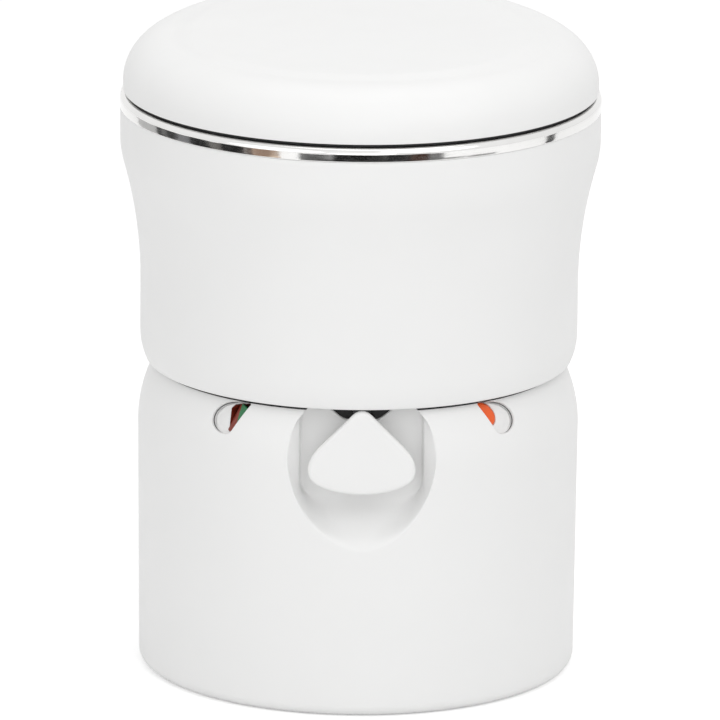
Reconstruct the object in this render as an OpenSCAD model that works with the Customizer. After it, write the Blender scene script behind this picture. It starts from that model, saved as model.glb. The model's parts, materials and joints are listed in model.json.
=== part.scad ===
// Portable camping toilet: a holding tank with a slide valve, and on it the bowl with seat and lid.
// The origin is on the floor at the centre of the rounded front. The front faces -Y.

/* [Plan] */
// Radius of the rounded front at the rim
rim_r = 190; // [175:1:205]
// How much wider the flanks are drawn than the front
flank_shift = 70; // [60:1:80]
// Angle that each flank turns through, in degrees
flank_turn = 40; // [36:1:44]
// Radius of the two rear corners at the rim
corner_r = 66; // [64:1:72]

/* [Holding tank] */
// Height of the tank's shoulder above the floor
tank_h = 249; // [235:1:265]
// Wall of the moulded tank
tank_wall = 3; // [2.5:0.1:3.5]
// How far the tank's belt lies inside the rim line
belt_inset = 15.5; // [13:0.5:18]
// Height of the shoulder above the belt
shoulder_h = 53; // [48:1:58]
// Radius of the shoulder
shoulder_r = 100; // [92:1:112]
// How far the tank tapers in down to the floor
foot_taper = 1.5; // [0:0.5:4]
// Rounding round the bottom edge
bottom_round = 9; // [6:1:12]
// Width of the land that carries the upper section
land_w = 8; // [6:0.5:9]
// Thickness of the rubber pads let into the floor
pad_t = 2; // [1:0.5:3]
// Radius of the rubber pads
pad_r = 15; // [10:1:18]

/* [Finger pocket and pull handle] */
// How far the pocket's widest line lies below the tank's top
pocket_drop = 36.5; // [34:0.5:40]
// Half width of the pocket's mouth at its widest line
pocket_mouth_r = 64; // [61:1:67]
// Radius of the mouth's lower end
pocket_low_r = 44; // [38:1:50]
// How far the mouth reaches below its widest line
pocket_low = 76; // [70:1:80]
// Half width of the pocket's back wall
pocket_back_half_w = 48; // [45:1:50]
// How far the back wall reaches below the widest line
pocket_back_low = 38; // [34:1:42]
// Depth of the pocket behind the front
pocket_depth = 32; // [26:1:34]
// Half width of the handle
handle_half_w = 42.5; // [38:0.5:45]
// Height of the handle from its lower edge to its tip
handle_h = 68.5; // [64:0.5:72]
// Thickness of the handle
handle_t = 7; // [5:0.5:9]
// Width of the valve's rod
rod_w = 13; // [10:0.5:16]
// Width of the slot that the rod runs through
slot_w = 32; // [24:1:34]

/* [Scoops] */
// Angle of each scoop from the middle of the front, in degrees
scoop_turn = 38.5; // [36:0.5:42]
// How far the scoops' centres lie below the tank's top
scoop_drop = 18.5; // [16:0.5:21]
// Radius of a scoop at the surface
scoop_r = 19; // [17:0.5:20]
// Depth of a scoop
scoop_depth = 8.5; // [7:0.5:9]
// Distance from a scoop's centre to its straight edge
chord_x = 9; // [8:0.5:10]
// Lean of the straight edge, in degrees
chord_lean = 20; // [15:1:25]

/* [Level indicator] */
// Radius of the indicator's drum
drum_r = 11; // [10:0.5:11.5]
// Length of the drum
drum_l = 15; // [13:0.5:16]
// Radius of the drum's shaft
gauge_shaft_r = 3; // [2.5:0.1:3.5]
// Length of the float arm
arm_l = 105; // [90:1:115]
// Radius of the float
float_r = 17; // [14:0.5:19]

/* [Release tab] */
// How far the release tab slides
release_travel = 6; // [5:0.5:7]
// Height of the tab
tab_h = 17; // [14:0.5:18]
// Thickness of the tab
tab_t = 4; // [3:0.5:4.5]

/* [Slide valve] */
// Radius of the valve's port
port_r = 45; // [40:1:47]
// How far the port lies behind the origin
port_y = 16; // [14:1:18]
// Thickness of the blade
blade_t = 4; // [3:0.5:5]
// How far the blade's underside lies below the tank's top
blade_drop = 8; // [7:0.5:9]
// Margin of the blade around the port
blade_margin = 7; // [6:0.5:8]
// How far the blade slides to open
valve_travel = 98; // [95:1:100]

/* [Upper section] */
// How far the casing's edge hangs below the tank's top
casing_overlap = 1; // [0.5:0.5:2]
// Height of the casing
casing_h = 204; // [200:1:208]
// Wall of the casing
casing_wall = 3; // [2.5:0.1:3.5]
// How far the casing's waist lies inside the rim line
waist_inset = 16.9; // [16:0.1:19]
// Height above the casing's edge where the flare starts
waist_h = 62; // [52:1:72]
// Height above the casing's edge where the flare ends
flare_h = 180; // [170:1:190]
// Height of the steel band
band_h = 11; // [9:0.5:13]
// Thickness of the steel
steel_t = 1.2; // [1:0.1:1.5]
// Radius of the bowl's mouth
bowl_r = 122; // [115:1:126]

/* [Seat and lid] */
// Thickness of the seat
seat_t = 15; // [12:0.5:16]
// Half width of the seat's opening
seat_open_r = 98; // [92:1:104]
// How much longer than wide the opening is
seat_open_extra = 50; // [40:1:60]
// Gap between the steel band and the lid
lid_gap = 2.5; // [2:0.1:3]
// Height of the lid
lid_h = 44; // [40:0.5:48]
// Wall of the lid
lid_wall = 3; // [2.5:0.1:3.5]
// Rounding of the lid's edge
lid_round = 35; // [28:1:36]
// Rise of the lid's crown
lid_crown = 3; // [1:0.5:4]
// Radius of the hinge pin
pin_r = 3; // [2.5:0.1:3.5]
// How far the hinge's axis lies behind the rim line
hinge_back = 10; // [9:0.5:12]

/* [Rear of the tank] */
// Radius of the drain cap
cap_r = 32; // [28:1:36]
// Height of the drain's centre
drain_z = 62; // [56:1:70]
// Half the span of the carry handle
bail_half_w = 62; // [54:1:68]
// Radius of the carry handle's bar
bail_r = 5; // [4:0.5:6]

/* [Hidden] */
$fn = 72;

pearl = [0.95, 0.95, 0.94];
dark = [0.08, 0.08, 0.08];
steel = [0.72, 0.72, 0.73];
running = 0.05;
clear = 0.4;
lap = 1;
far = 400;
through = 20;

flank_r = rim_r + flank_shift;
corner_x = (flank_r - corner_r) * cos(flank_turn) - flank_shift;
corner_y = (flank_r - corner_r) * sin(flank_turn);
back_y = corner_y + corner_r;
plate_in = 60;

belt_z = tank_h - shoulder_h;
pocket_z = tank_h - pocket_drop;
scoop_z = tank_h - scoop_drop;
blade_z = tank_h - blade_drop;
casing_z = tank_h - casing_overlap;
casing_top_z = casing_z + casing_h;
waist_top_z = casing_z + waist_h;
flare_top_z = casing_z + flare_h;
shell_z = 0;
pad_x = 100;
pad_front = 85;
pad_back = 115;
foot_inset = belt_inset + foot_taper;
shoulder_turn = asin((tank_h - belt_z) / shoulder_r);
shoulder_in = belt_inset + shoulder_r * (1 - cos(shoulder_turn));
front_y = -(rim_r - belt_inset);

// Points of an arc about c, from one angle to another
function arc(c, r, from, to, steps = 8) =
    [for (i = [0 : steps]) c + r * [cos(from + (to - from) * i / steps), sin(from + (to - from) * i / steps)]];

// Solid swept round the plan; a profile point is [distance outside the rim line, height]
module sweep_plan(profile) {
    rotate_extrude(angle = 180, start = 180) translate([rim_r, 0]) polygon(profile);
    for (side = [0, 1]) mirror([side, 0, 0]) {
        translate([-flank_shift, 0, 0])
            rotate_extrude(angle = flank_turn, start = 0) translate([flank_r, 0]) polygon(profile);
        translate([corner_x, corner_y, 0])
            rotate_extrude(angle = 90 - flank_turn, start = flank_turn)
                translate([corner_r, 0]) polygon(profile);
    }
    translate([-corner_x, back_y, 0]) rotate([90, 0, 90]) linear_extrude(2 * corner_x) polygon(profile);
}

// The plan's shape, grown by d
module plan_shape(d) {
    circle(rim_r + d);
    translate([-corner_x, 0]) square([2 * corner_x, back_y + d]);
    for (side = [0, 1]) mirror([side, 0]) {
        translate([corner_x, corner_y]) circle(corner_r + d);
        intersection() {
            translate([-flank_shift, 0]) circle(flank_r + d);
            polygon([[-flank_shift, 0], [far, 0],
                [-flank_shift + far * cos(flank_turn), far * sin(flank_turn)]]);
        }
    }
}

// Flat plate of the plan's shape
module plan_plate(d, z0, z1) {
    translate([0, 0, z0]) linear_extrude(z1 - z0) plan_shape(d);
}

// Flat ring between two outlines of the plan
module plan_ring(d_out, d_in, z0, z1) {
    translate([0, 0, z0]) linear_extrude(z1 - z0) difference() {
        plan_shape(d_out);
        plan_shape(d_in);
    }
}

// Frame of a scoop: origin on the surface, X towards the middle of the front along it, Z straight out of it.
// side is 1 for the left scoop and -1 for the right one, whose frame is a mirror image.
scoop_lift = asin((scoop_z - belt_z) / shoulder_r);
scoop_reach = rim_r - belt_inset - shoulder_r * (1 - cos(scoop_lift));
module at_scoop(side, lean = 0) {
    mirror([side < 0 ? 1 : 0, 0, 0]) rotate([0, 0, -scoop_turn]) translate([0, -scoop_reach, scoop_z])
        rotate([90 - scoop_lift, 0, 0]) rotate([0, 0, -lean]) children();
}

scoop_ball_r = (scoop_r * scoop_r + scoop_depth * scoop_depth) / (2 * scoop_depth);
// Ball that presses the scoop into the surface, cut along the straight edge; grow adds the backing wall
module scoop_ball(grow) {
    intersection() {
        translate([0, 0, scoop_ball_r - scoop_depth]) sphere(scoop_ball_r + grow);
        translate([-far, -far, -far]) cube([far + chord_x + grow, 2 * far, 2 * far]);
    }
}

drum_depth = 15;
drum_room = 1;
// Room of the indicator's drum under the skin
module drum_room_shape(grow) {
    translate([chord_x, 0, -drum_depth]) rotate([90, 0, 0])
        cylinder(r = drum_r + drum_room + grow, h = drum_l + 2 * drum_room + 2 * grow, center = true);
}

tab_l = 18;
tab_z = -9.5;
tab_show = 10;
// Room of the release tab under the skin
module tab_room_shape(grow) {
    translate([chord_x - tab_show - grow, -tab_h / 2 - clear - grow, tab_z - clear - grow])
        cube([tab_show + tab_l + release_travel + 2 * grow,
            tab_h + 2 * (clear + grow), tab_t + 2 * (clear + grow)]);
}

pocket_corner = 8;
pocket_ahead = 10;
pocket_top = pocket_drop - tank_wall;
pocket_side_slope = (pocket_mouth_r - pocket_back_half_w) / pocket_depth;
pocket_floor_slope = (pocket_low - pocket_back_low) / pocket_depth;

// Outline of the pocket a distance in front of the tank's front
module pocket_mouth(ahead, grow) {
    side = grow + pocket_side_slope * ahead;
    floor_out = grow + pocket_floor_slope * ahead;
    circle(pocket_mouth_r + side);
    translate([0, -pocket_low - floor_out + pocket_low_r + side]) circle(pocket_low_r + side);
}

// Outline of the pocket's back wall
module pocket_back(grow) {
    for (x = [-1, 1], y = [pocket_corner - pocket_back_low, pocket_top - pocket_corner])
        translate([x * (pocket_back_half_w - pocket_corner), y]) circle(pocket_corner + grow, $fn = 24);
}

// The finger pocket: flat back wall, slanted sides and a floor that slopes out; grow adds the backing wall
module pocket_shape(grow) {
    translate([0, front_y + pocket_depth, pocket_z]) rotate([90, 0, 0]) hull() {
        translate([0, 0, -grow]) linear_extrude(skin_t) pocket_back(grow);
        translate([0, 0, pocket_depth + pocket_ahead]) linear_extrude(skin_t) pocket_mouth(pocket_ahead, grow);
    }
}

rod_t = blade_t;
rod_z = blade_z;
slot_h = rod_t + 2 * clear;
module rod_slot(y0, y1) {
    translate([-slot_w / 2, y0, rod_z - clear]) cube([slot_w, y1 - y0, slot_h]);
}

drain_y = back_y - foot_inset;
drain_depth = 26;
drain_room = 14;
drain_recess_r = cap_r + drain_room;
cap_lap = 7;
drain_neck_r = cap_r - cap_lap;
bail_below = 44;
bail_z = tank_h - bail_below;
recess_depth = 24;
recess_side = 17;
recess_w = 2 * (bail_half_w + recess_side);
recess_h = 62;
recess_above = 8;

tank_outer = concat(
    arc([-foot_inset - bottom_round, shell_z + bottom_round], bottom_round, -90, 0, 6),
    arc([-belt_inset - shoulder_r, belt_z], shoulder_r, 0, shoulder_turn, 9));
tank_inner = concat(
    arc([-belt_inset - shoulder_r, belt_z], shoulder_r - tank_wall, shoulder_turn, 0, 9),
    arc([-foot_inset - bottom_round, shell_z + bottom_round], bottom_round - tank_wall, 0, -90, 5));
land_in = shoulder_in + land_w;

// Outer skin of the tank without its openings
module tank_skin() {
    sweep_plan(concat([[-plate_in, shell_z]], tank_outer,
        [[-land_in, tank_h], [-land_in, tank_h - tank_wall]], tank_inner, [[-plate_in, shell_z + tank_wall]]));
    plan_plate(lap - plate_in, shell_z, shell_z + tank_wall);
}

// Everything inside the tank's outer surface
module tank_solid() {
    sweep_plan(concat([[-plate_in, shell_z]], tank_outer, [[-plate_in, tank_h]]));
    plan_plate(lap - plate_in, shell_z, tank_h);
    plan_plate(-foot_inset - 2 * tank_wall, bottom_round + lap, belt_z);
}

module drain_recess(grow) {
    translate([0, drain_y - drain_depth - grow, drain_z]) rotate([-90, 0, 0])
        cylinder(r = drain_recess_r + grow, h = drain_depth + grow + through);
}

module bail_recess(grow) {
    translate([-recess_w / 2 - grow, drain_y - recess_depth - grow, bail_z - recess_h + recess_above - grow])
        cube([recess_w + 2 * grow, recess_depth + grow + through, recess_h + 2 * grow]);
}

// The skin, with a hole for each cup that is set into it
module tank_shell() {
    color(pearl) difference() {
        union() {
            tank_skin();
            pad_places() cylinder(r = pad_r + tank_wall, h = pad_t + tank_wall);
        }
        pad_places() translate([0, 0, -lap]) cylinder(r = pad_r, h = pad_t + lap);
        pocket_shape(tank_wall);
        scoop_shape(1, tank_wall);
        scoop_shape(-1, tank_wall);
        at_scoop(-1) latch_slot();
        drain_recess(tank_wall);
        bail_recess(tank_wall);
    }
}

// Scoop with the room under its straight edge: the drum's on the left, the tab's on the right
module scoop_shape(side, grow) {
    at_scoop(side, chord_lean) scoop_ball(grow);
    if (side > 0) at_scoop(side, chord_lean) drum_room_shape(grow);
    else at_scoop(side) tab_room_shape(grow);
}

slot_reach = 12;
module pocket_cup() {
    color(pearl) difference() {
        intersection() {
            tank_solid();
            pocket_shape(tank_wall);
        }
        pocket_shape(0);
        rod_slot(front_y, front_y + pocket_depth + slot_reach);
    }
}

module scoop_cups() {
    color(pearl) for (side = [1, -1]) difference() {
        intersection() {
            tank_solid();
            scoop_shape(side, tank_wall);
        }
        scoop_shape(side, 0);
        if (side > 0) at_scoop(side, chord_lean) translate([chord_x, 0, -drum_depth]) rotate([90, 0, 0])
            cylinder(r = gauge_shaft_r + running, h = drum_l + through, center = true);
        else at_scoop(side) latch_slot();
    }
}

module drain_cup() {
    color(pearl) difference() {
        intersection() {
            tank_solid();
            drain_recess(tank_wall);
        }
        drain_recess(0);
        translate([0, drain_y - drain_depth - through / 2, drain_z]) rotate([-90, 0, 0])
            cylinder(r = drain_neck_r, h = through);
    }
}

module handle_cup() {
    color(pearl) difference() {
        intersection() {
            tank_solid();
            bail_recess(tank_wall);
        }
        bail_recess(0);
    }
}

latch_x = 14;
latch_w = 6;
latch_t = 4;
latch_reach = 30;
// Slot that the latch's arm moves in, through the tab's room, the land, the valve deck and the casing's ledge
module latch_slot() {
    translate([latch_x - clear, tab_h / 2 - lap, tab_z - clear])
        cube([latch_w + release_travel + 2 * clear, latch_reach, latch_t + 2 * clear]);
}

deck_drop = 16;
deck_z = tank_h - deck_drop;
deck_t = 3;
tray_in = 51.5;
tray_wall = 2.5;
flange_set_in = 3.5;
flange_in = shoulder_in + flange_set_in;
rail_in = port_r + blade_margin + clear;
rail_out = 66;
rail_y0 = -118;
rail_past = 10;
rail_y1 = port_y + port_r + blade_margin + rail_past;
cover_z = blade_z + blade_t + clear;
cover_t = 3;
cover_ahead = 20;
cover_y0 = port_y - port_r - cover_ahead;
screw_x = (rail_in + rail_out) / 2;
screw_r = 2;
screw_sink = 8;
screw_edge = 6;
head_t = 2;
deck_slot_l = 80;
collar_w = 4;
seal_gap = 0.3;
seal_t = 1.2;

module cover_screw_places() {
    for (x = [-screw_x, screw_x], y = [cover_y0 + screw_edge, rail_y1 - screw_edge])
        translate([x, y, 0]) children();
}

module pad_places() {
    for (x = [-pad_x, pad_x], y = [-pad_front, pad_back]) translate([x, y, shell_z]) children();
}

module rubber_pads() {
    color(dark) pad_places() cylinder(r = pad_r, h = pad_t);
}

module valve_deck() {
    color(pearl) difference() {
        union() {
            sweep_plan([[-tray_in - tray_wall, deck_z], [-tray_in, deck_z], [-tray_in, tank_h],
                [-flange_in, tank_h], [-flange_in, tank_h + deck_t], [-tray_in - tray_wall, tank_h + deck_t]]);
            plan_plate(-tray_in - tray_wall / 2, deck_z, deck_z + deck_t);
            translate([0, port_y, deck_z])
                cylinder(r = port_r + collar_w, h = blade_z - seal_gap - seal_t - deck_z);
            for (side = [-1, 1]) translate([side * (rail_in + rail_out) / 2, (rail_y0 + rail_y1) / 2, 0])
                translate([-(rail_out - rail_in) / 2, -(rail_y1 - rail_y0) / 2, deck_z])
                    cube([rail_out - rail_in, rail_y1 - rail_y0, cover_z - deck_z]);
        }
        translate([0, port_y, deck_z - lap]) cylinder(r = port_r, h = through);
        rod_slot(-rim_r, -rim_r + deck_slot_l);
        cover_screw_places() translate([0, 0, deck_z + deck_t]) cylinder(r = screw_r + running, h = through);
        at_scoop(-1) latch_slot();
    }
}

module port_seal() {
    color(dark) translate([0, port_y, blade_z - seal_gap - seal_t]) difference() {
        cylinder(r = port_r + collar_w, h = seal_t);
        translate([0, 0, -lap]) cylinder(r = port_r, h = seal_t + 2 * lap);
    }
}

module valve_cover() {
    color([0.85, 0.85, 0.84]) difference() {
        union() {
            translate([-rail_out, cover_y0, cover_z]) cube([2 * rail_out, rail_y1 - cover_y0, cover_t]);
            translate([0, port_y, cover_z]) cylinder(r = port_r + collar_w, h = outlet_z - seal_gap - cover_z);
        }
        translate([0, port_y, cover_z - lap]) cylinder(r = port_r, h = through);
        cover_screw_places() translate([0, 0, cover_z - lap]) cylinder(r = screw_r + running, h = through);
    }
}

module cover_screws() {
    color(steel) cover_screw_places() {
        translate([0, 0, cover_z - screw_sink]) cylinder(r = screw_r, h = screw_sink + cover_t);
        translate([0, 0, cover_z + cover_t]) cylinder(r = 2 * screw_r, h = head_t);
    }
}

neck_wall = 3;
neck_out = 18;
neck_flange = 6;
neck_flange_t = 3;
recess_floor_y = drain_y - drain_depth;
module drain_neck() {
    color(pearl) translate([0, recess_floor_y, drain_z]) rotate([-90, 0, 0]) difference() {
        union() {
            cylinder(r = drain_neck_r + neck_wall, h = neck_out);
            cylinder(r = drain_neck_r + neck_wall + neck_flange, h = neck_flange_t);
        }
        translate([0, 0, -lap]) cylinder(r = drain_neck_r, h = neck_out + 2 * lap);
    }
}

blade_half = port_r + blade_margin;
blade_front_gap = 1;
blade_front_r = rim_r - tray_in - tray_wall - blade_front_gap;
blade_front = 60;
module valve_blade() {
    color([0.2, 0.2, 0.22]) translate([0, 0, blade_z]) linear_extrude(blade_t) intersection() {
        translate([-blade_half, -blade_front]) square([2 * blade_half, blade_front + port_y + blade_half]);
        translate([0, valve_travel]) circle(blade_front_r);
    }
}

handle_set_in = 6;
handle_face_y = front_y + handle_set_in;
handle_gap = 1;
handle_top_z = casing_z - handle_gap;
rod_lap = 8;
rod_back_y = valve_travel - blade_front_r + rod_lap;
module valve_rod() {
    color([0.2, 0.2, 0.22]) difference() {
        translate([-rod_w / 2, handle_face_y + handle_t, rod_z])
            cube([rod_w, rod_back_y - handle_face_y - handle_t, rod_t]);
        translate([0, 0, rod_z - lap]) linear_extrude(rod_t + 2 * lap) intersection() {
            translate([-blade_half, -blade_front]) square([2 * blade_half, blade_front + port_y + blade_half]);
            translate([0, valve_travel]) circle(blade_front_r);
        }
    }
}

tip_r = 8;
corner_round = 14;
corner_up = 21;
bulge_r = 110;
bulge_half_w = 34;
bulge_h = 12;
handle_edge = 2;
skin_t = 0.01;
module handle_outline(inset) {
    hull() {
        translate([0, handle_top_z - tip_r]) circle(tip_r - inset, $fn = 32);
        for (side = [-1, 1])
            translate([side * (handle_half_w - corner_round), handle_top_z - handle_h + corner_up])
                circle(corner_round - inset, $fn = 32);
        intersection() {
            translate([0, handle_top_z - handle_h + bulge_r]) circle(bulge_r - inset, $fn = 160);
            translate([-bulge_half_w, handle_top_z - handle_h]) square([2 * bulge_half_w, bulge_h]);
        }
    }
}

module pull_handle() {
    color(pearl) translate([0, handle_face_y, 0]) rotate([90, 0, 180]) mirror([1, 0, 0]) {
        hull() {
            linear_extrude(skin_t) handle_outline(handle_edge);
            translate([0, 0, handle_edge]) linear_extrude(handle_t - handle_edge) handle_outline(0);
        }
    }
}

module at_drum() {
    at_scoop(1, chord_lean) translate([chord_x, 0, -drum_depth]) rotate([90, 0, 0]) children();
}

band_from = 148;
band_to = 300;
module drum_sector(from, to) {
    at_drum() translate([0, 0, -drum_l / 2])
        rotate_extrude(angle = to - from, start = from) translate([gauge_shaft_r, 0])
            square([drum_r - gauge_shaft_r, drum_l]);
}

module gauge_drum() {
    color([0.18, 0.47, 0.29]) drum_sector(band_to - 360, band_from);
}

module gauge_band() {
    color([0.51, 0.2, 0.15]) drum_sector(band_from, band_to);
}

hub_at = 18;
hub_l = 6;
hub_wall = 3;
shaft_past = 3;
arm_turn = 60;
module gauge_shaft() {
    color(steel) at_drum() translate([0, 0, -drum_l / 2 - shaft_past])
        cylinder(r = gauge_shaft_r, h = drum_l / 2 + shaft_past + hub_at + hub_l / 2);
}

module at_arm() {
    at_drum() translate([0, 0, hub_at]) rotate([0, 0, -arm_turn]) rotate([0, 90, 0]) children();
}

arm_r = 2;
module gauge_arm() {
    color([0.2, 0.2, 0.22]) difference() {
        union() {
            at_drum() translate([0, 0, hub_at - hub_l / 2]) cylinder(r = gauge_shaft_r + hub_wall, h = hub_l);
            at_arm() cylinder(r = arm_r, h = arm_l);
        }
        at_drum() cylinder(r = gauge_shaft_r, h = 2 * hub_at);
    }
}

module gauge_float() {
    color([0.9, 0.85, 0.6]) difference() {
        at_arm() translate([0, 0, arm_l]) sphere(float_r);
        at_arm() cylinder(r = arm_r, h = arm_l);
    }
}

tab_short = 5;
tab_end = tab_l - tab_short;
tab_round = 5;
module release_tab() {
    color([0.94, 0.37, 0.1]) at_scoop(-1) translate([0, 0, tab_z]) linear_extrude(tab_t) {
        translate([chord_x - tab_show + tab_round, -tab_h / 2]) square([tab_show + tab_end - tab_round, tab_h]);
        for (y = [-1, 1])
            translate([chord_x - tab_show + tab_round, y * (tab_h / 2 - tab_round)]) circle(tab_round);
        translate([chord_x - tab_show, -tab_h / 2 + tab_round]) square([2 * tab_round, tab_h - 2 * tab_round]);
    }
}

hook_l = 22;
module latch_hook() {
    color([0.2, 0.2, 0.22]) at_scoop(-1)
        translate([latch_x, tab_h / 2, tab_z]) cube([latch_w, hook_l, latch_t]);
}

spring_r = 1.6;
spring_wall = 0.5;
module latch_spring() {
    length = tab_l + release_travel - tab_end;
    color(steel) at_scoop(-1) translate([chord_x + tab_end, 0, tab_z + tab_t / 2])
        rotate([0, 90, 0]) difference() {
        cylinder(r = spring_r, h = length);
        translate([0, 0, -lap]) cylinder(r = spring_r - spring_wall, h = length + 2 * lap);
    }
}

cap_t = 4;
cap_seal_t = 1;
cap_y = recess_floor_y + neck_out;
skirt_l = 13;
grip_w = 6;
grip_h = 5;
grip_short = 4;
lug_r = 3;
lug_out = 1.5;
lug_count = 18;
module drain_cap() {
    color([0.2, 0.2, 0.22]) translate([0, cap_y + cap_seal_t, drain_z]) {
        rotate([-90, 0, 0]) cylinder(r = cap_r, h = cap_t);
        translate([0, -skirt_l, 0]) rotate([-90, 0, 0]) difference() {
            union() {
                cylinder(r = cap_r, h = skirt_l + lap);
                for (i = [0 : lug_count - 1]) rotate([0, 0, 360 * i / lug_count])
                    translate([cap_r - lug_r + lug_out, 0, 0]) cylinder(r = lug_r, h = skirt_l + lap);
            }
            translate([0, 0, -lap]) cylinder(r = drain_neck_r + neck_wall + clear, h = skirt_l + lap);
        }
        translate([-grip_w / 2, 0, -cap_r + grip_short])
            cube([grip_w, cap_t + grip_h, 2 * (cap_r - grip_short)]);
    }
}

module cap_seal() {
    color(dark) translate([0, cap_y, drain_z]) rotate([-90, 0, 0]) difference() {
        cylinder(r = drain_neck_r + neck_wall, h = cap_seal_t);
        translate([0, 0, -lap]) cylinder(r = drain_neck_r, h = cap_seal_t + 2 * lap);
    }
}

bail_axis_y = drain_y - recess_depth / 2;
bail_axis_drop = 5;
bail_axis_z = bail_z - bail_axis_drop;
eye_w = 10;
eye_wall = 4;
ear_wall = 5;
bail_drop = 36;
bail_pin_r = 4;
grip_r = 7;
module carry_handle() {
    color([0.2, 0.2, 0.22]) translate([0, bail_axis_y, bail_axis_z]) difference() {
        union() {
            for (side = [-1, 1]) translate([side * bail_half_w, 0, 0]) {
                rotate([0, 90, 0]) cylinder(r = bail_pin_r + eye_wall, h = eye_w, center = true);
                translate([0, 0, -bail_drop]) cylinder(r = bail_r, h = bail_drop);
                translate([0, 0, -bail_drop]) sphere(grip_r);
            }
            translate([-bail_half_w, 0, -bail_drop])
                rotate([0, 90, 0]) cylinder(r = grip_r, h = 2 * bail_half_w);
        }
        for (side = [-1, 1]) translate([side * bail_half_w, 0, 0])
            rotate([0, 90, 0]) cylinder(r = bail_pin_r + running, h = eye_w + 2 * lap, center = true);
    }
}

module handle_ears() {
    color(pearl) for (side = [0, 1]) mirror([side, 0, 0]) translate([bail_half_w, bail_axis_y, bail_axis_z])
        rotate([0, 90, 0]) {
            translate([0, 0, eye_w / 2 + clear])
                cylinder(r = bail_pin_r + ear_wall, h = recess_side - eye_w / 2 - clear);
            translate([0, 0, -eye_w / 2]) cylinder(r = bail_pin_r, h = eye_w + clear);
        }
}

casing_round_h = 22;
casing_round_in = 5;
casing_round_r = (casing_round_h * casing_round_h + casing_round_in * casing_round_in) / (2 * casing_round_in);
waist_z = casing_z + casing_round_h;
casing_top_in = 0.5;
flare_dx = waist_inset - casing_top_in;
flare_dz = flare_top_z - waist_top_z;
flare_total = (flare_dx * flare_dx + flare_dz * flare_dz) / (2 * flare_dx);
flare_share = 0.82;
flare_low_r = flare_share * flare_total;
flare_high_r = flare_total - flare_low_r;
flare_mid_z = waist_top_z + flare_share * flare_dz;

// Distance of the casing's surface outside the rim line at a height
function casing_d(z) =
    z < waist_z ? -waist_inset - casing_round_r + sqrt(pow(casing_round_r, 2) - pow(waist_z - z, 2)) :
    z < waist_top_z ? -waist_inset :
    z < flare_mid_z ? -waist_inset + flare_low_r - sqrt(pow(flare_low_r, 2) - pow(z - waist_top_z, 2)) :
    z < flare_top_z ? -casing_top_in - flare_high_r + sqrt(pow(flare_high_r, 2) - pow(flare_top_z - z, 2)) :
    -casing_top_in;

ledge_z = tank_h + deck_t;
ledge_t = 3;
ledge_in = 50;
top_flange_in = 24;
low_steps = 5;
flare_steps = 12;
casing_levels = concat([for (i = [0 : low_steps]) casing_z + i * casing_round_h / low_steps],
    [for (i = [0 : flare_steps]) waist_top_z + i * flare_dz / flare_steps], [casing_top_z]);
function turned(list) = [for (i = [len(list) - 1 : -1 : 0]) list[i]];

hinge_x0 = 40;
knuckle_w = 8;
bracket_w = 4 * knuckle_w;
side_gap = 0.3;
knuckle_r = 6.5;
hinge_y = back_y + hinge_back;
hinge_rise = 7;
hinge_z = casing_top_z + band_h + hinge_rise;
bracket_t = 3;
bracket_low = 42;
bracket_top = 6;
bracket_foot = 20;
screw_low = 8;
screw_high = 14;
screw_l = 9;
screw_reach = 14;
bracket_head_t = 1.8;

module upper_casing() {
    color(pearl) difference() {
        union() {
            sweep_plan(concat(
                [for (z = casing_levels) [casing_d(z), z]],
                [for (z = turned(casing_levels)) [casing_d(z) - casing_wall, z]]));
            plan_ring(-waist_inset - casing_wall - lap, -ledge_in, ledge_z, ledge_z + ledge_t);
            plan_ring(-casing_top_in - lap, -top_flange_in, casing_top_z - casing_wall, casing_top_z);
        }
        at_scoop(-1) latch_slot();
        bracket_screw_places() translate([0, 0, -screw_reach]) cylinder(r = screw_r + running, h = through);
    }
}

outlet_gap = 0.6;
outlet_z = ledge_z + outlet_gap;
outlet_step = 4;
outlet_end = outlet_z + outlet_step;
outlet_h = 14;
band_round = 2;
band_bevel = 0.6;
bowl_lip_r = 9;
bowl_lip_end = 175;
bowl_lip_steps = 6;
bowl_waist_in = 6;
bowl_waist_below = 40;
bowl_low_above = 50;
bowl_waist_z = casing_top_z - bowl_waist_below;
bowl_low_z = ledge_z + bowl_low_above;
funnel_drop = 22;
neck_drop = 34;
funnel_out = 14;
funnel_low_out = 3;
bowl_line = concat(
    arc([bowl_r + bowl_lip_r, casing_top_z + band_h - bowl_lip_r], bowl_lip_r,
        90, bowl_lip_end, bowl_lip_steps),
    [[bowl_r - bowl_waist_in, bowl_waist_z], [port_r + funnel_out, bowl_low_z],
        [port_r + funnel_low_out, bowl_low_z - funnel_drop], [port_r, bowl_low_z - neck_drop],
        [port_r, outlet_end]]);

// The bowl's wall, drawn in from its inner line by the steel's thickness
module bowl_wall() {
    translate([0, port_y, 0]) rotate_extrude() polygon(concat(bowl_line,
        [for (p = turned(bowl_line)) [p[0] + steel_t, p[1] - (p[1] > bowl_waist_z ? steel_t : 0)]]));
}

deck_top = casing_top_z + band_h;
module steel_bowl() {
    color(steel) {
        sweep_plan([[-steel_t, casing_top_z], [-band_bevel, casing_top_z], [0, casing_top_z + band_round],
            [0, deck_top - band_round], [-band_bevel, deck_top - band_bevel], [-band_round, deck_top],
            [-plate_in, deck_top], [-plate_in, deck_top - steel_t],
            [-band_round - steel_t, deck_top - steel_t], [-steel_t, deck_top - band_round]]);
        difference() {
            plan_plate(lap - plate_in, deck_top - steel_t, deck_top);
            translate([0, port_y, deck_top - through / 2]) cylinder(r = bowl_r + bowl_lip_r, h = through);
        }
        bowl_wall();
    }
}

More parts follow.
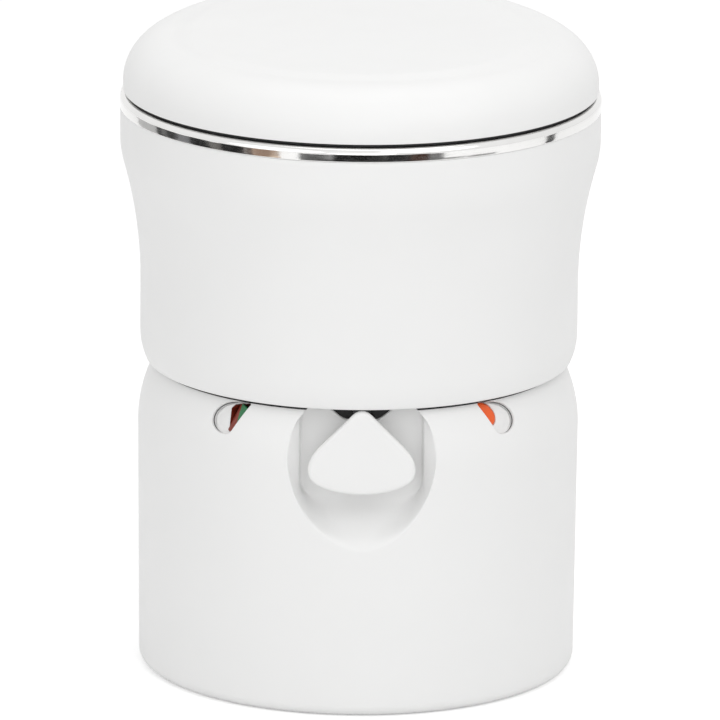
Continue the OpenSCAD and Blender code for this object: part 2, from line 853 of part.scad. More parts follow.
module outlet_seal() {
    color(dark) translate([0, port_y, outlet_z]) difference() {
        cylinder(r = port_r + collar_w + band_round, h = outlet_h);
        translate([0, 0, outlet_step]) cylinder(r = port_r + steel_t, h = through);
        translate([0, 0, -lap]) cylinder(r = port_r, h = through);
    }
}

module bracket_screw_places() {
    for (side = [-1, 1], z = [bracket_low - screw_low, screw_high])
        translate([side * (hinge_x0 + 2 * knuckle_w), back_y - casing_top_in + bracket_t, casing_top_z - z])
            rotate([-90, 0, 0]) children();
}

// Knuckle of a hinge station from one side to the other, counted from its inner face
module knuckle(side, from, width, r) {
    mirror([side, 0, 0]) translate([hinge_x0 + from, hinge_y, hinge_z])
        rotate([0, 90, 0]) cylinder(r = r, h = width);
}

module knuckle_bore(gap) {
    for (side = [0, 1]) knuckle(side, -knuckle_w / 2, bracket_w + knuckle_w, pin_r + gap);
}

module hinge_brackets() {
    color(steel) difference() {
        for (side = [0, 1]) {
            mirror([side, 0, 0]) translate([hinge_x0, back_y - casing_top_in, casing_top_z - bracket_low])
                cube([bracket_w, bracket_t, bracket_low - bracket_top]);
            for (from = [0, 3 * knuckle_w]) {
                knuckle(side, from, knuckle_w, knuckle_r);
                mirror([side, 0, 0]) translate([hinge_x0 + from, 0, 0])
                    rotate([90, 0, 90]) linear_extrude(knuckle_w) polygon([
                        [back_y - casing_top_in, casing_top_z - bracket_foot],
                        [hinge_y + knuckle_r, hinge_z], [hinge_y - knuckle_r, hinge_z],
                        [back_y - casing_top_in + bracket_t, casing_top_z - bracket_top],
                        [back_y - casing_top_in, casing_top_z - bracket_top]]);
            }
        }
        knuckle_bore(0);
        bracket_screw_places() translate([0, 0, -through / 2]) cylinder(r = screw_r + running, h = through);
    }
}

module bracket_screws() {
    color(steel) bracket_screw_places() {
        translate([0, 0, -screw_l]) cylinder(r = screw_r, h = screw_l);
        cylinder(r = 2 * screw_r, h = bracket_head_t);
    }
}

pin_past = 1;
pin_head_l = 2;
pin_head_w = 1.2;
module hinge_pins() {
    color(steel) for (side = [0, 1]) {
        knuckle(side, -pin_past, bracket_w + 2 * pin_past, pin_r);
        knuckle(side, -pin_past - pin_head_l, pin_head_l, pin_r + pin_head_w);
        knuckle(side, bracket_w, pin_head_l, pin_r + pin_head_w);
    }
}

seat_in = 14;
seat_gap = 3;
seat_low = deck_top + seat_gap;
seat_bevel = 2;
seat_wall = 4;
ear_lap = 4;
rib_t = 3;
bumper_r = 8;
bumper_x = 118;
bumper_front = 80;
bumper_back = 112;
seat_top = seat_low + seat_t;
seat_round = 6;
ear_t = 7;
seat_ear_from = knuckle_w + side_gap;
seat_ear_w = knuckle_w - 1.5 * side_gap;
lid_arm_from = 2 * knuckle_w + side_gap / 2;

module hinge_arm(side, from, width, y0, z0, z1) {
    mirror([side, 0, 0]) translate([hinge_x0 + from, 0, 0]) rotate([90, 0, 90]) linear_extrude(width)
        polygon([[y0, z0], [hinge_y, z0], [hinge_y, z1], [y0, z1]]);
}

// The opening's outline, grown by d
module seat_hole(d) {
    translate([0, port_y]) {
        for (y = [-1, 1]) translate([0, y * seat_open_extra / 2]) circle(seat_open_r + d);
        translate([-seat_open_r - d, -seat_open_extra / 2]) square([2 * (seat_open_r + d), seat_open_extra]);
    }
}

module bumper_places() {
    for (x = [-bumper_x, bumper_x], y = [-bumper_front, bumper_back]) translate([x, y]) children();
}

// Hollow in the seat's underside, left out round the bumpers and across the ribs
module seat_hollow() {
    translate([0, 0, seat_low - lap]) linear_extrude(seat_t - seat_wall + lap) difference() {
        plan_shape(-seat_in - 2 * seat_wall);
        seat_hole(seat_wall);
        bumper_places() circle(bumper_r + lap);
        translate([-far, port_y - rib_t / 2]) square([2 * far, rib_t]);
        translate([-rib_t / 2, -far]) square([rib_t, 2 * far]);
        for (x = [-1, 1]) translate([x * (hinge_x0 + seat_ear_from + seat_ear_w / 2) - knuckle_w, 0])
            square([2 * knuckle_w, far]);
    }
}

module seat() {
    color(pearl) difference() {
        union() {
            sweep_plan(concat([[-plate_in, seat_low], [-seat_in - seat_bevel, seat_low],
                [-seat_in, seat_low + seat_bevel]],
                arc([-seat_in - seat_round, seat_top - seat_round], seat_round, 0, 90, 6),
                [[-plate_in, seat_top]]));
            plan_plate(lap - plate_in, seat_low, seat_top);
            for (side = [0, 1]) {
                knuckle(side, seat_ear_from, seat_ear_w, knuckle_r);
                hinge_arm(side, seat_ear_from, seat_ear_w, back_y - seat_in - ear_lap,
                    seat_low, seat_low + ear_t);
            }
        }
        translate([0, 0, seat_low - lap]) linear_extrude(seat_t + 2 * lap) seat_hole(0);
        seat_hollow();
        knuckle_bore(running);
    }
}

module seat_bumpers() {
    color(dark) translate([0, 0, deck_top]) bumper_places() cylinder(r = bumper_r, h = seat_gap);
}

lid_low = deck_top + lid_gap;
lid_in = lid_gap;
lid_top = lid_low + lid_h;
lid_edge_z = lid_top - lid_crown;
lid_step = 3.5;
arm_below = 3;
arm_above = 5;
notch_in = 22;
notch_l = 24;
step_gap = 0.5;
crown_count = 4;
seal_w = 5;
crown_in = plate_in - 2 * lap;
crown_w = crown_in - lid_in - lid_round;
function crown_z(d) = lid_top - lid_crown * pow((d + crown_in) / crown_w, 2);
crown_steps = [for (i = [1 : crown_count]) -lid_in - lid_round - i * crown_w / crown_count];

module lid_shell() {
    inner_round = lid_round - lid_wall;
    color(pearl) difference() {
        union() {
            sweep_plan(concat(
                [[-lid_in, lid_low]],
                arc([-lid_in - lid_round, lid_edge_z - lid_round], lid_round, 0, 90, 8),
                [for (d = crown_steps) [d, crown_z(d)]],
                [[-plate_in, lid_top], [-plate_in, lid_top - lid_wall]],
                [for (d = turned(crown_steps)) [d, crown_z(d) - lid_wall]],
                arc([-lid_in - lid_round, lid_edge_z - lid_round], inner_round, 90, 0, 8),
                [[-lid_in - lid_wall - seal_w, lid_edge_z - lid_round - step_gap],
                    [-lid_in - lid_wall - seal_w, lid_low + lid_step], [-lid_in - lid_wall, lid_low + lid_step],
                    [-lid_in - lid_wall, lid_low]]));
            plan_plate(lap - plate_in, lid_top - lid_wall, lid_top);
            for (side = [0, 1]) {
                knuckle(side, lid_arm_from, seat_ear_w, knuckle_r);
                hinge_arm(side, lid_arm_from, seat_ear_w, back_y - lid_in - lid_wall / 2,
                    hinge_z - arm_below, hinge_z + arm_above);
            }
        }
        knuckle_bore(running);
        for (side = [0, 1]) ear_notch(side);
    }
}

// Notch that the seat's ear runs through
module ear_notch(side) {
    mirror([side, 0, 0]) translate([hinge_x0 + seat_ear_from - side_gap, back_y - notch_in, deck_top - lap])
        cube([seat_ear_w + 2 * side_gap, notch_l, seat_gap + ear_t + 2 * lap]);
}

module lid_seal() {
    color(dark) difference() {
        sweep_plan([[-lid_in - lid_wall - seal_w, deck_top + seal_gap],
            [-lid_in - lid_wall, deck_top + seal_gap],
            [-lid_in - lid_wall, lid_low + lid_step], [-lid_in - lid_wall - seal_w, lid_low + lid_step]]);
        for (side = [0, 1]) ear_notch(side);
    }
}

tank_shell();
pocket_cup();
scoop_cups();
drain_cup();
handle_cup();
rubber_pads();
valve_deck();
port_seal();
valve_cover();
cover_screws();
drain_neck();
valve_blade();
valve_rod();
pull_handle();
gauge_drum();
gauge_band();
gauge_shaft();
gauge_arm();
gauge_float();
release_tab();
latch_hook();
latch_spring();
drain_cap();
cap_seal();
carry_handle();
handle_ears();
upper_casing();
steel_bowl();
outlet_seal();
hinge_brackets();
bracket_screws();
hinge_pins();
seat();
seat_bumpers();
lid_shell();
lid_seal();
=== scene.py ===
"""Looks of the camping toilet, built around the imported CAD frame.

Lengths in the shape code are millimetres, and add() turns them into metres. X points to the right, Y to the
rear and Z up. A "d" is a distance outwards from the rim line, negative inside it. A size whose name ends
in _IN says how far inside that line something lies.
"""
import json
import math

import bmesh
import bpy
import numpy as np
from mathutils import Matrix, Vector


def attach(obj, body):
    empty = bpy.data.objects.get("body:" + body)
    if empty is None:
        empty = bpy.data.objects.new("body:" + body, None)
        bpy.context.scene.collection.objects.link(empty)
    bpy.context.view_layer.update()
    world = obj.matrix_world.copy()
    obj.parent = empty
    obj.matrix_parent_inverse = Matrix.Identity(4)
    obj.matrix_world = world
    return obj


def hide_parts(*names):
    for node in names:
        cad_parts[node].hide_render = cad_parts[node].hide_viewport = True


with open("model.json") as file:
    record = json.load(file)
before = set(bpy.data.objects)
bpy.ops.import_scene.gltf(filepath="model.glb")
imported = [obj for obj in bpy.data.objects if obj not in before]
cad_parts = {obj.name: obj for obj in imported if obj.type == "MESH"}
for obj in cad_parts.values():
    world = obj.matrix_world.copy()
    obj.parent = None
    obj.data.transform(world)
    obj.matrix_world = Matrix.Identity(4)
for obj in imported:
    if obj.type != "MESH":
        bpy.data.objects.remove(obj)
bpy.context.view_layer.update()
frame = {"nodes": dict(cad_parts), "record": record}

MM = 0.001

# Plan of the body: a round front, flanks of wider arcs, two rear corners and a straight back
RIM_R, FLANK_SHIFT, FLANK_TURN, CORNER_R = 190.0, 70.0, 40.0, 66.0
FLANK_R = RIM_R + FLANK_SHIFT
CORNER_X = (FLANK_R - CORNER_R) * math.cos(math.radians(FLANK_TURN)) - FLANK_SHIFT
CORNER_Y = (FLANK_R - CORNER_R) * math.sin(math.radians(FLANK_TURN))
BACK_Y = CORNER_Y + CORNER_R
PLAN = [  # centre, radius, first and last angle; the straight back has no radius
    ((0.0, 0.0), RIM_R, 180.0, 360.0),
    ((-FLANK_SHIFT, 0.0), FLANK_R, 0.0, FLANK_TURN),
    ((CORNER_X, CORNER_Y), CORNER_R, FLANK_TURN, 90.0),
    None,
    ((-CORNER_X, CORNER_Y), CORNER_R, 90.0, 180.0 - FLANK_TURN),
    ((FLANK_SHIFT, 0.0), FLANK_R, 180.0 - FLANK_TURN, 180.0),
]
PLAN_LENGTHS = [2 * CORNER_X if p is None else math.radians(p[3] - p[2]) * p[1] for p in PLAN]
PLAN_TOTAL = sum(PLAN_LENGTHS)
PLAN_POINTS = 384

# Heights and insets of the tank, the casing, the steel band, the seat, the lid and the hinge
TANK_H, BELT_Z, BELT_IN, FOOT_IN, SHOULDER_R = 249.0, 196.0, 15.5, 17.0, 100.0
BOTTOM_ROUND, LAND_W = 9.0, 8.0
SHOULDER_TURN = math.degrees(math.asin((TANK_H - BELT_Z) / SHOULDER_R))
SHOULDER_IN = BELT_IN + SHOULDER_R * (1 - math.cos(math.radians(SHOULDER_TURN)))
FRONT_Y = -(RIM_R - BELT_IN)
CASING_Z, WAIST_IN, WAIST_TOP, FLARE_TOP, CASING_TOP = 248.0, 16.9, 310.0, 428.0, 452.0
BAND_H, STEEL_T, BOWL_R, BOWL_LIP = 11.0, 1.2, 122.0, 9.0
DECK_TOP = CASING_TOP + BAND_H
PORT_Y, PORT_R = 16.0, 45.0
SEAT_LOW, SEAT_TOP, SEAT_IN = DECK_TOP + 3, DECK_TOP + 18, 14.0
LID_IN, LID_LOW, LID_H, LID_R, LID_CROWN = 2.5, DECK_TOP + 2.5, 44.0, 35.0, 3.0
LID_TOP = LID_LOW + LID_H
HINGE_Y, HINGE_Z, HINGE_X0 = BACK_Y + 10, DECK_TOP + 7, 40.0
KNUCKLE_W, KNUCKLE_R = 8.0, 6.5


def plan_at(lengths):
    """Points and outward normals of the rim line at distances along it from the left end of the front."""
    points, normals = [], []
    for s in lengths:
        s = s % PLAN_TOTAL
        for piece, length in zip(PLAN, PLAN_LENGTHS):
            if s <= length:
                break
            s -= length
        if piece is None:
            points.append((CORNER_X - s, BACK_Y))
            normals.append((0.0, 1.0))
        else:
            (cx, cy), r, a0, a1 = piece
            a = math.radians(a0 + (a1 - a0) * s / length)
            points.append((cx + r * math.cos(a), cy + r * math.sin(a)))
            normals.append((math.cos(a), math.sin(a)))
    return np.array(points), np.array(normals)


def arc(cx, cy, r, a0, a1, steps):
    a = np.radians(np.linspace(a0, a1, steps + 1))
    return np.stack([cx + r * np.cos(a), cy + r * np.sin(a)], 1)


def full_turn(count):
    return np.arange(count) * 2 * math.pi / count


def smooth(points, steps):
    """Catmull-Rom curve through a short list of points."""
    p = np.array([points[0], *points, points[-1]], float)
    t = np.linspace(0, 1, steps, endpoint=False)[:, None]
    out = []
    for a, b, c, d in zip(p[:-3], p[1:-2], p[2:-1], p[3:]):
        bend, twist = 2 * a - 5 * b + 4 * c - d, 3 * b - a - 3 * c + d
        out.append(0.5 * (2 * b + (c - a) * t + bend * t**2 + twist * t**3))
    return np.concatenate([*out, p[-1:]])


def smax(a, b, k):
    """The larger value, with a round of size k where the two meet."""
    h = np.clip(k - np.abs(a - b), 0, None) / k
    return np.maximum(a, b) + h * h * k / 4


def step(x, x0, w):
    """Smooth rise from 0 at x0 to 1 at x0 + w."""
    t = np.clip((x - x0) / w, 0, 1)
    return t * t * (3 - 2 * t)


# Meshes: a part is a pair of points and faces, and a line is a list of [x, y] or [d, z] points


def linked(name, data):
    """New object in the scene that shows this data."""
    o = bpy.data.objects.new(name, data)
    bpy.context.scene.collection.objects.link(o)
    return o


def add(name, part, body, slot, replaced=(), sharp=40.0):
    """A piece of the object; edges that bend by more than sharp degrees stay crisp."""
    verts, faces = part
    mesh = bpy.data.meshes.new(name)
    mesh.from_pydata((np.asarray(verts) * MM).tolist(), [], faces)
    mesh.validate()
    bm = bmesh.new()
    bm.from_mesh(mesh)
    bmesh.ops.remove_doubles(bm, verts=bm.verts, dist=1e-6)
    bmesh.ops.dissolve_degenerate(bm, dist=1e-7, edges=bm.edges)
    bmesh.ops.recalc_face_normals(bm, faces=bm.faces)
    for face in bm.faces:
        face.smooth = True
    for edge in bm.edges:
        if len(edge.link_faces) == 2 and edge.calc_face_angle(0) > math.radians(sharp):
            edge.smooth = False
    bm.to_mesh(mesh)
    bm.free()
    piece = linked(name, mesh)
    mesh.materials.append(MATERIALS[slot])
    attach(piece, body)
    if replaced:
        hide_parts(*replaced)


def loft_faces(rows, cols, tube=False):
    """Quads between closed loops; a tube also joins the last loop to the first."""
    faces = []
    for i in range(rows if tube else rows - 1):
        row, above = i * cols, (i + 1) % rows * cols
        for j in range(cols):
            after = (j + 1) % cols
            faces.append((row + j, row + after, above + after, above + j))
    return faces


def loft(loops, tube=False, caps=(False, False)):
    """Skin over closed loops with the same number of points."""
    loops = [np.asarray(loop, float) for loop in loops]
    rows, cols = len(loops), len(loops[0])
    faces = loft_faces(rows, cols, tube)
    if caps[0]:
        faces.append(tuple(range(cols))[::-1])
    if caps[1]:
        faces.append(tuple(range((rows - 1) * cols, rows * cols)))
    return np.concatenate(loops), faces


def wire(sides):
    """Thin closed bar from the lines that run along it."""
    return loft(list(np.array(sides).transpose(1, 0, 2)), caps=(True, True))


def joined(*parts):
    verts, faces, base = [], [], 0
    for v, f in parts:
        verts.append(np.asarray(v, float))
        faces += [tuple(i + base for i in face) for face in f]
        base += len(v)
    return np.concatenate(verts), faces


def level(line, z):
    """Loop of a line in X and Y at one height."""
    return np.column_stack([line, np.full(len(line), float(z))])


def upright(line, y):
    """Loop of a line in X and Z at one Y."""
    return np.column_stack([line[:, 0], np.full(len(line), y), line[:, 1]])


def drawn_in(line, inset, middle=None):
    """Closed line with each point moved towards the middle by the inset."""
    middle = line.mean(0) if middle is None else middle
    reach = line - middle
    return middle + reach * (1 - inset / np.linalg.norm(reach, axis=1, keepdims=True))


def stacked(line, profile):
    """Loops of a line in X and Y from [inset, height] points."""
    return [level(drawn_in(line, inset), z) for inset, z in profile]


def between(a, b, shares):
    return [a + (b - a) * t for t in shares]


def unit_rows(v):
    return v / np.linalg.norm(v, axis=1, keepdims=True)


def ring_at(plan, d, z):
    points, normals = plan
    return level(points + normals * d, z)


def place(part, origin, axis):
    """Puts a part drawn round +Z on an axis."""
    z = Vector(axis).normalized()
    x = Vector((0, 0, 1)).cross(z)
    if x.length < 1e-6:
        x = Vector((1, 0, 0)).cross(z)
    x.normalize()
    return part[0] @ np.array([x, z.cross(x), z]) + np.array(origin, float), part[1]


def spun(profile, count=64, tube=False, caps=(False, False), ribs=None):
    """Round part about +Z from [radius, height] points; ribs(a, r, z) may change the radius."""
    a = full_turn(count)
    loops = []
    for r, z in profile:
        rr = np.full(count, float(r)) if ribs is None else ribs(a, r, z)
        loops.append(level(np.column_stack([rr * np.cos(a), rr * np.sin(a)]), z))
    return loft(loops, tube, caps)


EVEN_PLAN = plan_at(np.arange(PLAN_POINTS) * PLAN_TOTAL / PLAN_POINTS)
PORT_ANGLES = np.arctan2(EVEN_PLAN[0][:, 1] - PORT_Y, EVEN_PLAN[0][:, 0])


def rings(line):
    """Loops of the whole plan from [d, z] points."""
    return [ring_at(EVEN_PLAN, d, z) for d, z in line]


def port_ring(r, z):
    """Loop round the port's axis with one point for each of the plan; r is one radius or one per point."""
    return level(np.column_stack([r * np.cos(PORT_ANGLES), PORT_Y + r * np.sin(PORT_ANGLES)]), z)


# Materials


NOISE_SPAN = (0.3, 0.7)
WEAR_SPAN = (0.02, 0.0)
FINE_BUMP, SLOW_BUMP = 0.0002, 0.002


def node(tree, kind, **values):
    n = tree.nodes.new(kind)
    for key, value in values.items():
        if key in n.inputs:
            n.inputs[key].default_value = value
        else:
            setattr(n, key, value)
    return n


def empty_material(name):
    """Material with nothing but its output node."""
    m = bpy.data.materials.new(name)
    m.use_nodes = True
    m.node_tree.nodes.clear()
    return m, m.node_tree, node(m.node_tree, "ShaderNodeOutputMaterial")


def shaded_material(name):
    m, tree, out = empty_material(name)
    bsdf = node(tree, "ShaderNodeBsdfPrincipled")
    tree.links.new(bsdf.outputs[0], out.inputs[0])
    return m, tree, bsdf


def noise_at(tree, coords, scale, detail, roughness=0.55, stretch=None):
    source = coords.outputs["Object"]
    if stretch:
        mapping = node(tree, "ShaderNodeMapping", Scale=stretch)
        tree.links.new(source, mapping.inputs["Vector"])
        source = mapping.outputs[0]
    n = node(tree, "ShaderNodeTexNoise", Scale=scale, Detail=detail, Roughness=roughness)
    tree.links.new(source, n.inputs["Vector"])
    return n.outputs["Fac"]


def ramp(tree, source, stops):
    r = node(tree, "ShaderNodeValToRGB")
    while len(r.color_ramp.elements) < len(stops):
        r.color_ramp.elements.new(0.5)
    for e, (at, colour) in zip(r.color_ramp.elements, stops):
        e.position = at
        e.color = (*colour, 1)
    tree.links.new(source, r.inputs[0])
    return r.outputs[0]


def tinted(tree, source, colour, darker, paler):
    """Colour that varies with a noise, between a share darker and a share paler."""
    tints = [tuple(np.clip(np.array(colour) * k, 0, 1)) for k in (1 - darker, 1 + paler)]
    return ramp(tree, source, list(zip(NOISE_SPAN, tints)))


def ranged(tree, source, span, low, high):
    """Value that runs from low to high while the source runs over the span."""
    n = node(tree, "ShaderNodeMapRange")
    for key, value in zip(("From Min", "From Max", "To Min", "To Max"), (*span, low, high)):
        n.inputs[key].default_value = value
    tree.links.new(source, n.inputs["Value"])
    return n.outputs[0]


def bumped(tree, source, strength, distance):
    bump = node(tree, "ShaderNodeBump", Strength=strength, Distance=distance)
    tree.links.new(source, bump.inputs["Height"])
    return bump


def any_ray(tree, *kinds):
    """1 where the ray is of one of these kinds."""
    rays = node(tree, "ShaderNodeLightPath").outputs
    found = rays[kinds[0]]
    for kind in kinds[1:]:
        larger = node(tree, "ShaderNodeMath", operation="MAXIMUM")
        tree.links.new(found, larger.inputs[0])
        tree.links.new(rays[kind], larger.inputs[1])
        found = larger.outputs[0]
    return found


def plastic(name, colour, rough, vary=0.03, grain=900.0, grain_depth=0.06, wave=0.0, coat=0.0, wear=0.0,
            sheen=0.0):
    """Moulded plastic or rubber: colour that varies a little, fine grain, slow waves, scuffs low down."""
    m, t, b = shaded_material(name)
    link = t.links.new
    coords = node(t, "ShaderNodeTexCoord")
    link(tinted(t, noise_at(t, coords, 9.0, 4.0), colour, vary, vary * 0.4), b.inputs["Base Color"])
    roughness = ranged(t, noise_at(t, coords, 34.0, 6.0, 0.65), NOISE_SPAN, rough * 0.86, rough * 1.16)
    if wear:
        split = node(t, "ShaderNodeSeparateXYZ")
        link(coords.outputs["Object"], split.inputs[0])
        more = node(t, "ShaderNodeMath", operation="ADD", use_clamp=True)
        link(roughness, more.inputs[0])
        link(ranged(t, split.outputs["Z"], WEAR_SPAN, 0.0, wear), more.inputs[1])
        roughness = more.outputs[0]
    link(roughness, b.inputs["Roughness"])
    bump = bumped(t, noise_at(t, coords, grain, 3.0, 0.6), grain_depth, FINE_BUMP)
    if wave:
        waves = bumped(t, noise_at(t, coords, 14.0, 2.0, 0.4), wave, SLOW_BUMP)
        link(waves.outputs[0], bump.inputs["Normal"])
    link(bump.outputs[0], b.inputs["Normal"])
    b.inputs["IOR"].default_value = 1.49
    b.inputs["Coat Weight"].default_value = coat
    b.inputs["Coat Roughness"].default_value = 0.25
    b.inputs["Sheen Weight"].default_value = sheen
    return m


def metal(name, colour, rough, streak, bump_depth, vary=0.04):
    """Polished or brushed steel with faint streaks, smudges and hairlines."""
    m, t, b = shaded_material(name)
    link = t.links.new
    coords = node(t, "ShaderNodeTexCoord")
    link(tinted(t, noise_at(t, coords, 20.0, 5.0, 0.6), colour, vary, vary), b.inputs["Base Color"])
    lines = noise_at(t, coords, 60.0, 6.0, 0.7, streak)
    link(ranged(t, lines, NOISE_SPAN, rough * 0.6, rough * 1.5), b.inputs["Roughness"])
    link(bumped(t, lines, bump_depth, FINE_BUMP).outputs[0], b.inputs["Normal"])
    b.inputs["Metallic"].default_value = 1.0
    return m


PEARL, DARK, RUBBER = "pearl_plastic", "dark_plastic", "black_rubber"
GREEN, RED, ORANGE, FLOAT = "green_plastic", "red_plastic", "orange_plastic", "float_plastic"
CHROME, BRUSHED = "polished_steel", "plain_steel"
MATERIALS = {
    PEARL: plastic(PEARL, (0.862, 0.862, 0.857), 0.50, vary=0.012, grain=1100.0, grain_depth=0.05, wave=0.05,
                   coat=0.02, wear=0.12),
    DARK: plastic(DARK, (0.045, 0.045, 0.05), 0.48, vary=0.12, grain=1000.0, grain_depth=0.10),
    GREEN: plastic(GREEN, (0.028, 0.19, 0.072), 0.38, vary=0.10),
    RED: plastic(RED, (0.23, 0.032, 0.016), 0.38, vary=0.10),
    ORANGE: plastic(ORANGE, (0.86, 0.115, 0.012), 0.36, vary=0.05),
    FLOAT: plastic(FLOAT, (0.78, 0.70, 0.44), 0.55, vary=0.05, grain=700.0, grain_depth=0.15),
    RUBBER: plastic(RUBBER, (0.012, 0.012, 0.013), 0.62, vary=0.15, grain=800.0, grain_depth=0.12,
                    sheen=0.05),
    CHROME: metal(CHROME, (0.80, 0.795, 0.785), 0.10, streak=(1, 1, 14), bump_depth=0.02),
    BRUSHED: metal(BRUSHED, (0.60, 0.60, 0.61), 0.27, streak=(30, 1, 1), bump_depth=0.05),
}
for row in frame["record"]["subparts"]:
    materials = frame["nodes"][row["node"]].data.materials
    materials.clear()
    materials.append(MATERIALS[row["material_slot"]])

# Finger pocket: its mouth in the skin, its back wall, and the stepped band at each side
POCKET_Z, POCKET_DEPTH = 212.5, 32.0
MOUTH_HALF, MOUTH_LOW, MOUTH_HIGH = 58.3, 73.0, 49.0
WALL_HALF, WALL_LOW, WALL_HIGH = 47.5, 46.0, 33.5
WALL_CORNER, WALL_LOW_CORNER, LEAST_TAPER = 8.0, 18.0, 1.2
BAND_STEP, BAND_SHARE = 10.0, 0.65
PRESS_HALF, PRESS_LOW, PRESS_Y = 74.0, 124.5, -100.0
# Dark gap over the pocket's back wall, with a black plate in it as painted shade and the room for the
# handle's rod in it, and a black strip of painted shadow along the joint over the tank
CREVICE_Z, CREVICE_HALF, CREVICE_DEPTH, CREVICE_DROP, NECK_HALF = 245.0, 30.0, 6.0, 10.5, 11.0
SEAM_SHADE_Z, SEAM_SHADE_OUT, SEAM_SHADE_UP = 244.9, 0.35, 0.15
ROD_ROOM, ROD_LOW, ROD_HIGH = 7.2, 240.4, 245.7
# Finger scoops: where they lie on the shoulder, their dished face and the groove inside their rim
SCOOP_TURN, SCOOP_Z, SCOOP_SHIFT, NEAR_SCOOP = 38.5, 230.5, 2.5, 25.0
SCOOP_DEPTH, SCOOP_RUN = 5.0, 5.0
GROOVE, GROOVE_AT, GROOVE_W = 2.6, 0.75, 0.55
CHORD_X, CHORD_LEAN = 9.0, 20.0
WELL_DEPTH, TAB_ROOM, TAB_GAP, EDGE_W = 18.0, 10.5, 0.5, 0.6
SCOOP_LIFT = math.asin((SCOOP_Z - BELT_Z) / SHOULDER_R)
SCOOP_REACH = RIM_R - BELT_IN - SHOULDER_R * (1 - math.cos(SCOOP_LIFT))
SCOOP_RIM = smooth([(14.6, 16.4), (6.4, 16.4), (-0.9, 15.0), (-7.9, 12.6), (-13.2, 8.8), (-16.7, 4.0),
                    (-17.5, -1.8), (-15.0, -6.8), (-10.0, -10.4), (-4.4, -11.6), (0.6, -10.6),
                    (3.6, -7.6)], 6)
SCOOP_CHORD = [(4.9, -5.0), (15.2, 15.0)]
WINDOW = [(-4.4, 9.6), (-2.2, -5.6), (9.0, -5.6), (18.0, 16.5), (12.0, 15.6), (5.0, 14.8), (-1.4, 12.8)]
TAB = smooth([(18.0, -3.6), (8.0, -3.4), (2.6, -3.0), (-0.6, -0.8), (-1.9, 3.3), (-1.1, 7.6), (2.2, 12.2),
              (7.1, 15.4), (12.5, 16.0), (18.0, 16.0)], 6)
# Rear recesses for the drain cap and for the carry handle
DRAIN_Y, DRAIN_Z, DRAIN_DEPTH, DRAIN_R = BACK_Y - FOOT_IN, 62.0, 26.0, 46.0
RECESS_LOW, RECESS_HIGH, RECESS_W, RECESS_DEPTH = 151.0, 213.0, 158.0, 24.0
RECESS_CORNER, RECESS_WALL = 10.0, 2.4


def tank_d(z):
    """Distance of the tank's skin from the rim line at a height."""
    if z > BELT_Z:
        return -BELT_IN - SHOULDER_R + math.sqrt(SHOULDER_R**2 - (z - BELT_Z)**2)
    return -FOOT_IN + (FOOT_IN - BELT_IN) * (z - BOTTOM_ROUND) / (BELT_Z - BOTTOM_ROUND)


def scoop_frame(side, lean=0.0):
    """A scoop's X, Y and Z as rows, with its origin; X points to the middle of the front. The left is 1."""
    def rot(axis, a):
        c, s = math.cos(a), math.sin(a)
        about_x, about_z = [[1, 0, 0], [0, c, -s], [0, s, c]], [[c, -s, 0], [s, c, 0], [0, 0, 1]]
        return np.array(about_x if axis == "x" else about_z)

    turn = rot("z", math.radians(-SCOOP_TURN))
    m = turn @ rot("x", math.radians(90) - SCOOP_LIFT) @ rot("z", math.radians(-lean))
    o = turn @ np.array([0, -SCOOP_REACH, SCOOP_Z])
    if side < 0:
        flip = np.diag([-1.0, 1.0, 1.0])
        m, o = flip @ m, flip @ o
    return m.T, o


def in_scoop(part, side, lean=0.0):
    m, o = scoop_frame(side, lean)
    return part[0] @ m + o, part[1]


def away_from(x, y, line, closed=True):
    """Distance of points from a line of points; negative inside where the line is closed."""
    line = np.asarray(line, float)
    ends = np.roll(line, -1, 0) if closed else line[1:]
    starts = line if closed else line[:-1]
    best = np.full(x.shape, 1e9)
    inside = np.zeros(x.shape, bool)
    for (ax, ay), (bx, by) in zip(starts, ends):
        dx, dy = bx - ax, by - ay
        t = np.clip(((x - ax) * dx + (y - ay) * dy) / max(dx * dx + dy * dy, 1e-9), 0, 1)
        best = np.minimum(best, np.hypot(x - ax - t * dx, y - ay - t * dy))
        if closed:
            crossed = (ay > y) != (by > y)
            inside ^= crossed & (x < ax + (y - ay) * dx / (dy if dy else 1e-9))
    return np.where(inside, -best, best)


def press_scoop(v, side):
    """Presses a finger scoop into the skin, with room for the drum or the tab behind its straight edge."""
    m, o = scoop_frame(side)
    local = (v - o) @ m.T
    x, y, z = local.T
    x = x - side * SCOOP_SHIFT
    near = (np.abs(x) < NEAR_SCOOP) & (np.abs(y) < NEAR_SCOOP) & (np.abs(z) < NEAR_SCOOP)
    x, y, z = x[near], y[near], z[near]
    inside = away_from(x, y, [*SCOOP_RIM, *SCOOP_CHORD])
    within = 1 - step(inside, -0.5, EDGE_W)
    rim = away_from(x, y, SCOOP_RIM, False)
    slope = 1 - np.clip(rim / SCOOP_RUN, 0, 1)
    dish = SCOOP_DEPTH * np.sqrt(np.clip(1 - slope * slope, 0, 1)) * within
    dish = dish + GROOVE * np.exp(-((rim - GROOVE_AT) / GROOVE_W)**2) * step(y, -11, 9) * (inside < 0)
    if side > 0:
        room = (1 - step(away_from(x, y, WINDOW), -0.4, EDGE_W)) * WELL_DEPTH
    else:
        room = (1 - step(away_from(x, y, TAB) - TAB_GAP, -0.3, EDGE_W)) * TAB_ROOM
    local[near, 2] = z - np.maximum(dish, room * within)
    return local @ m + o


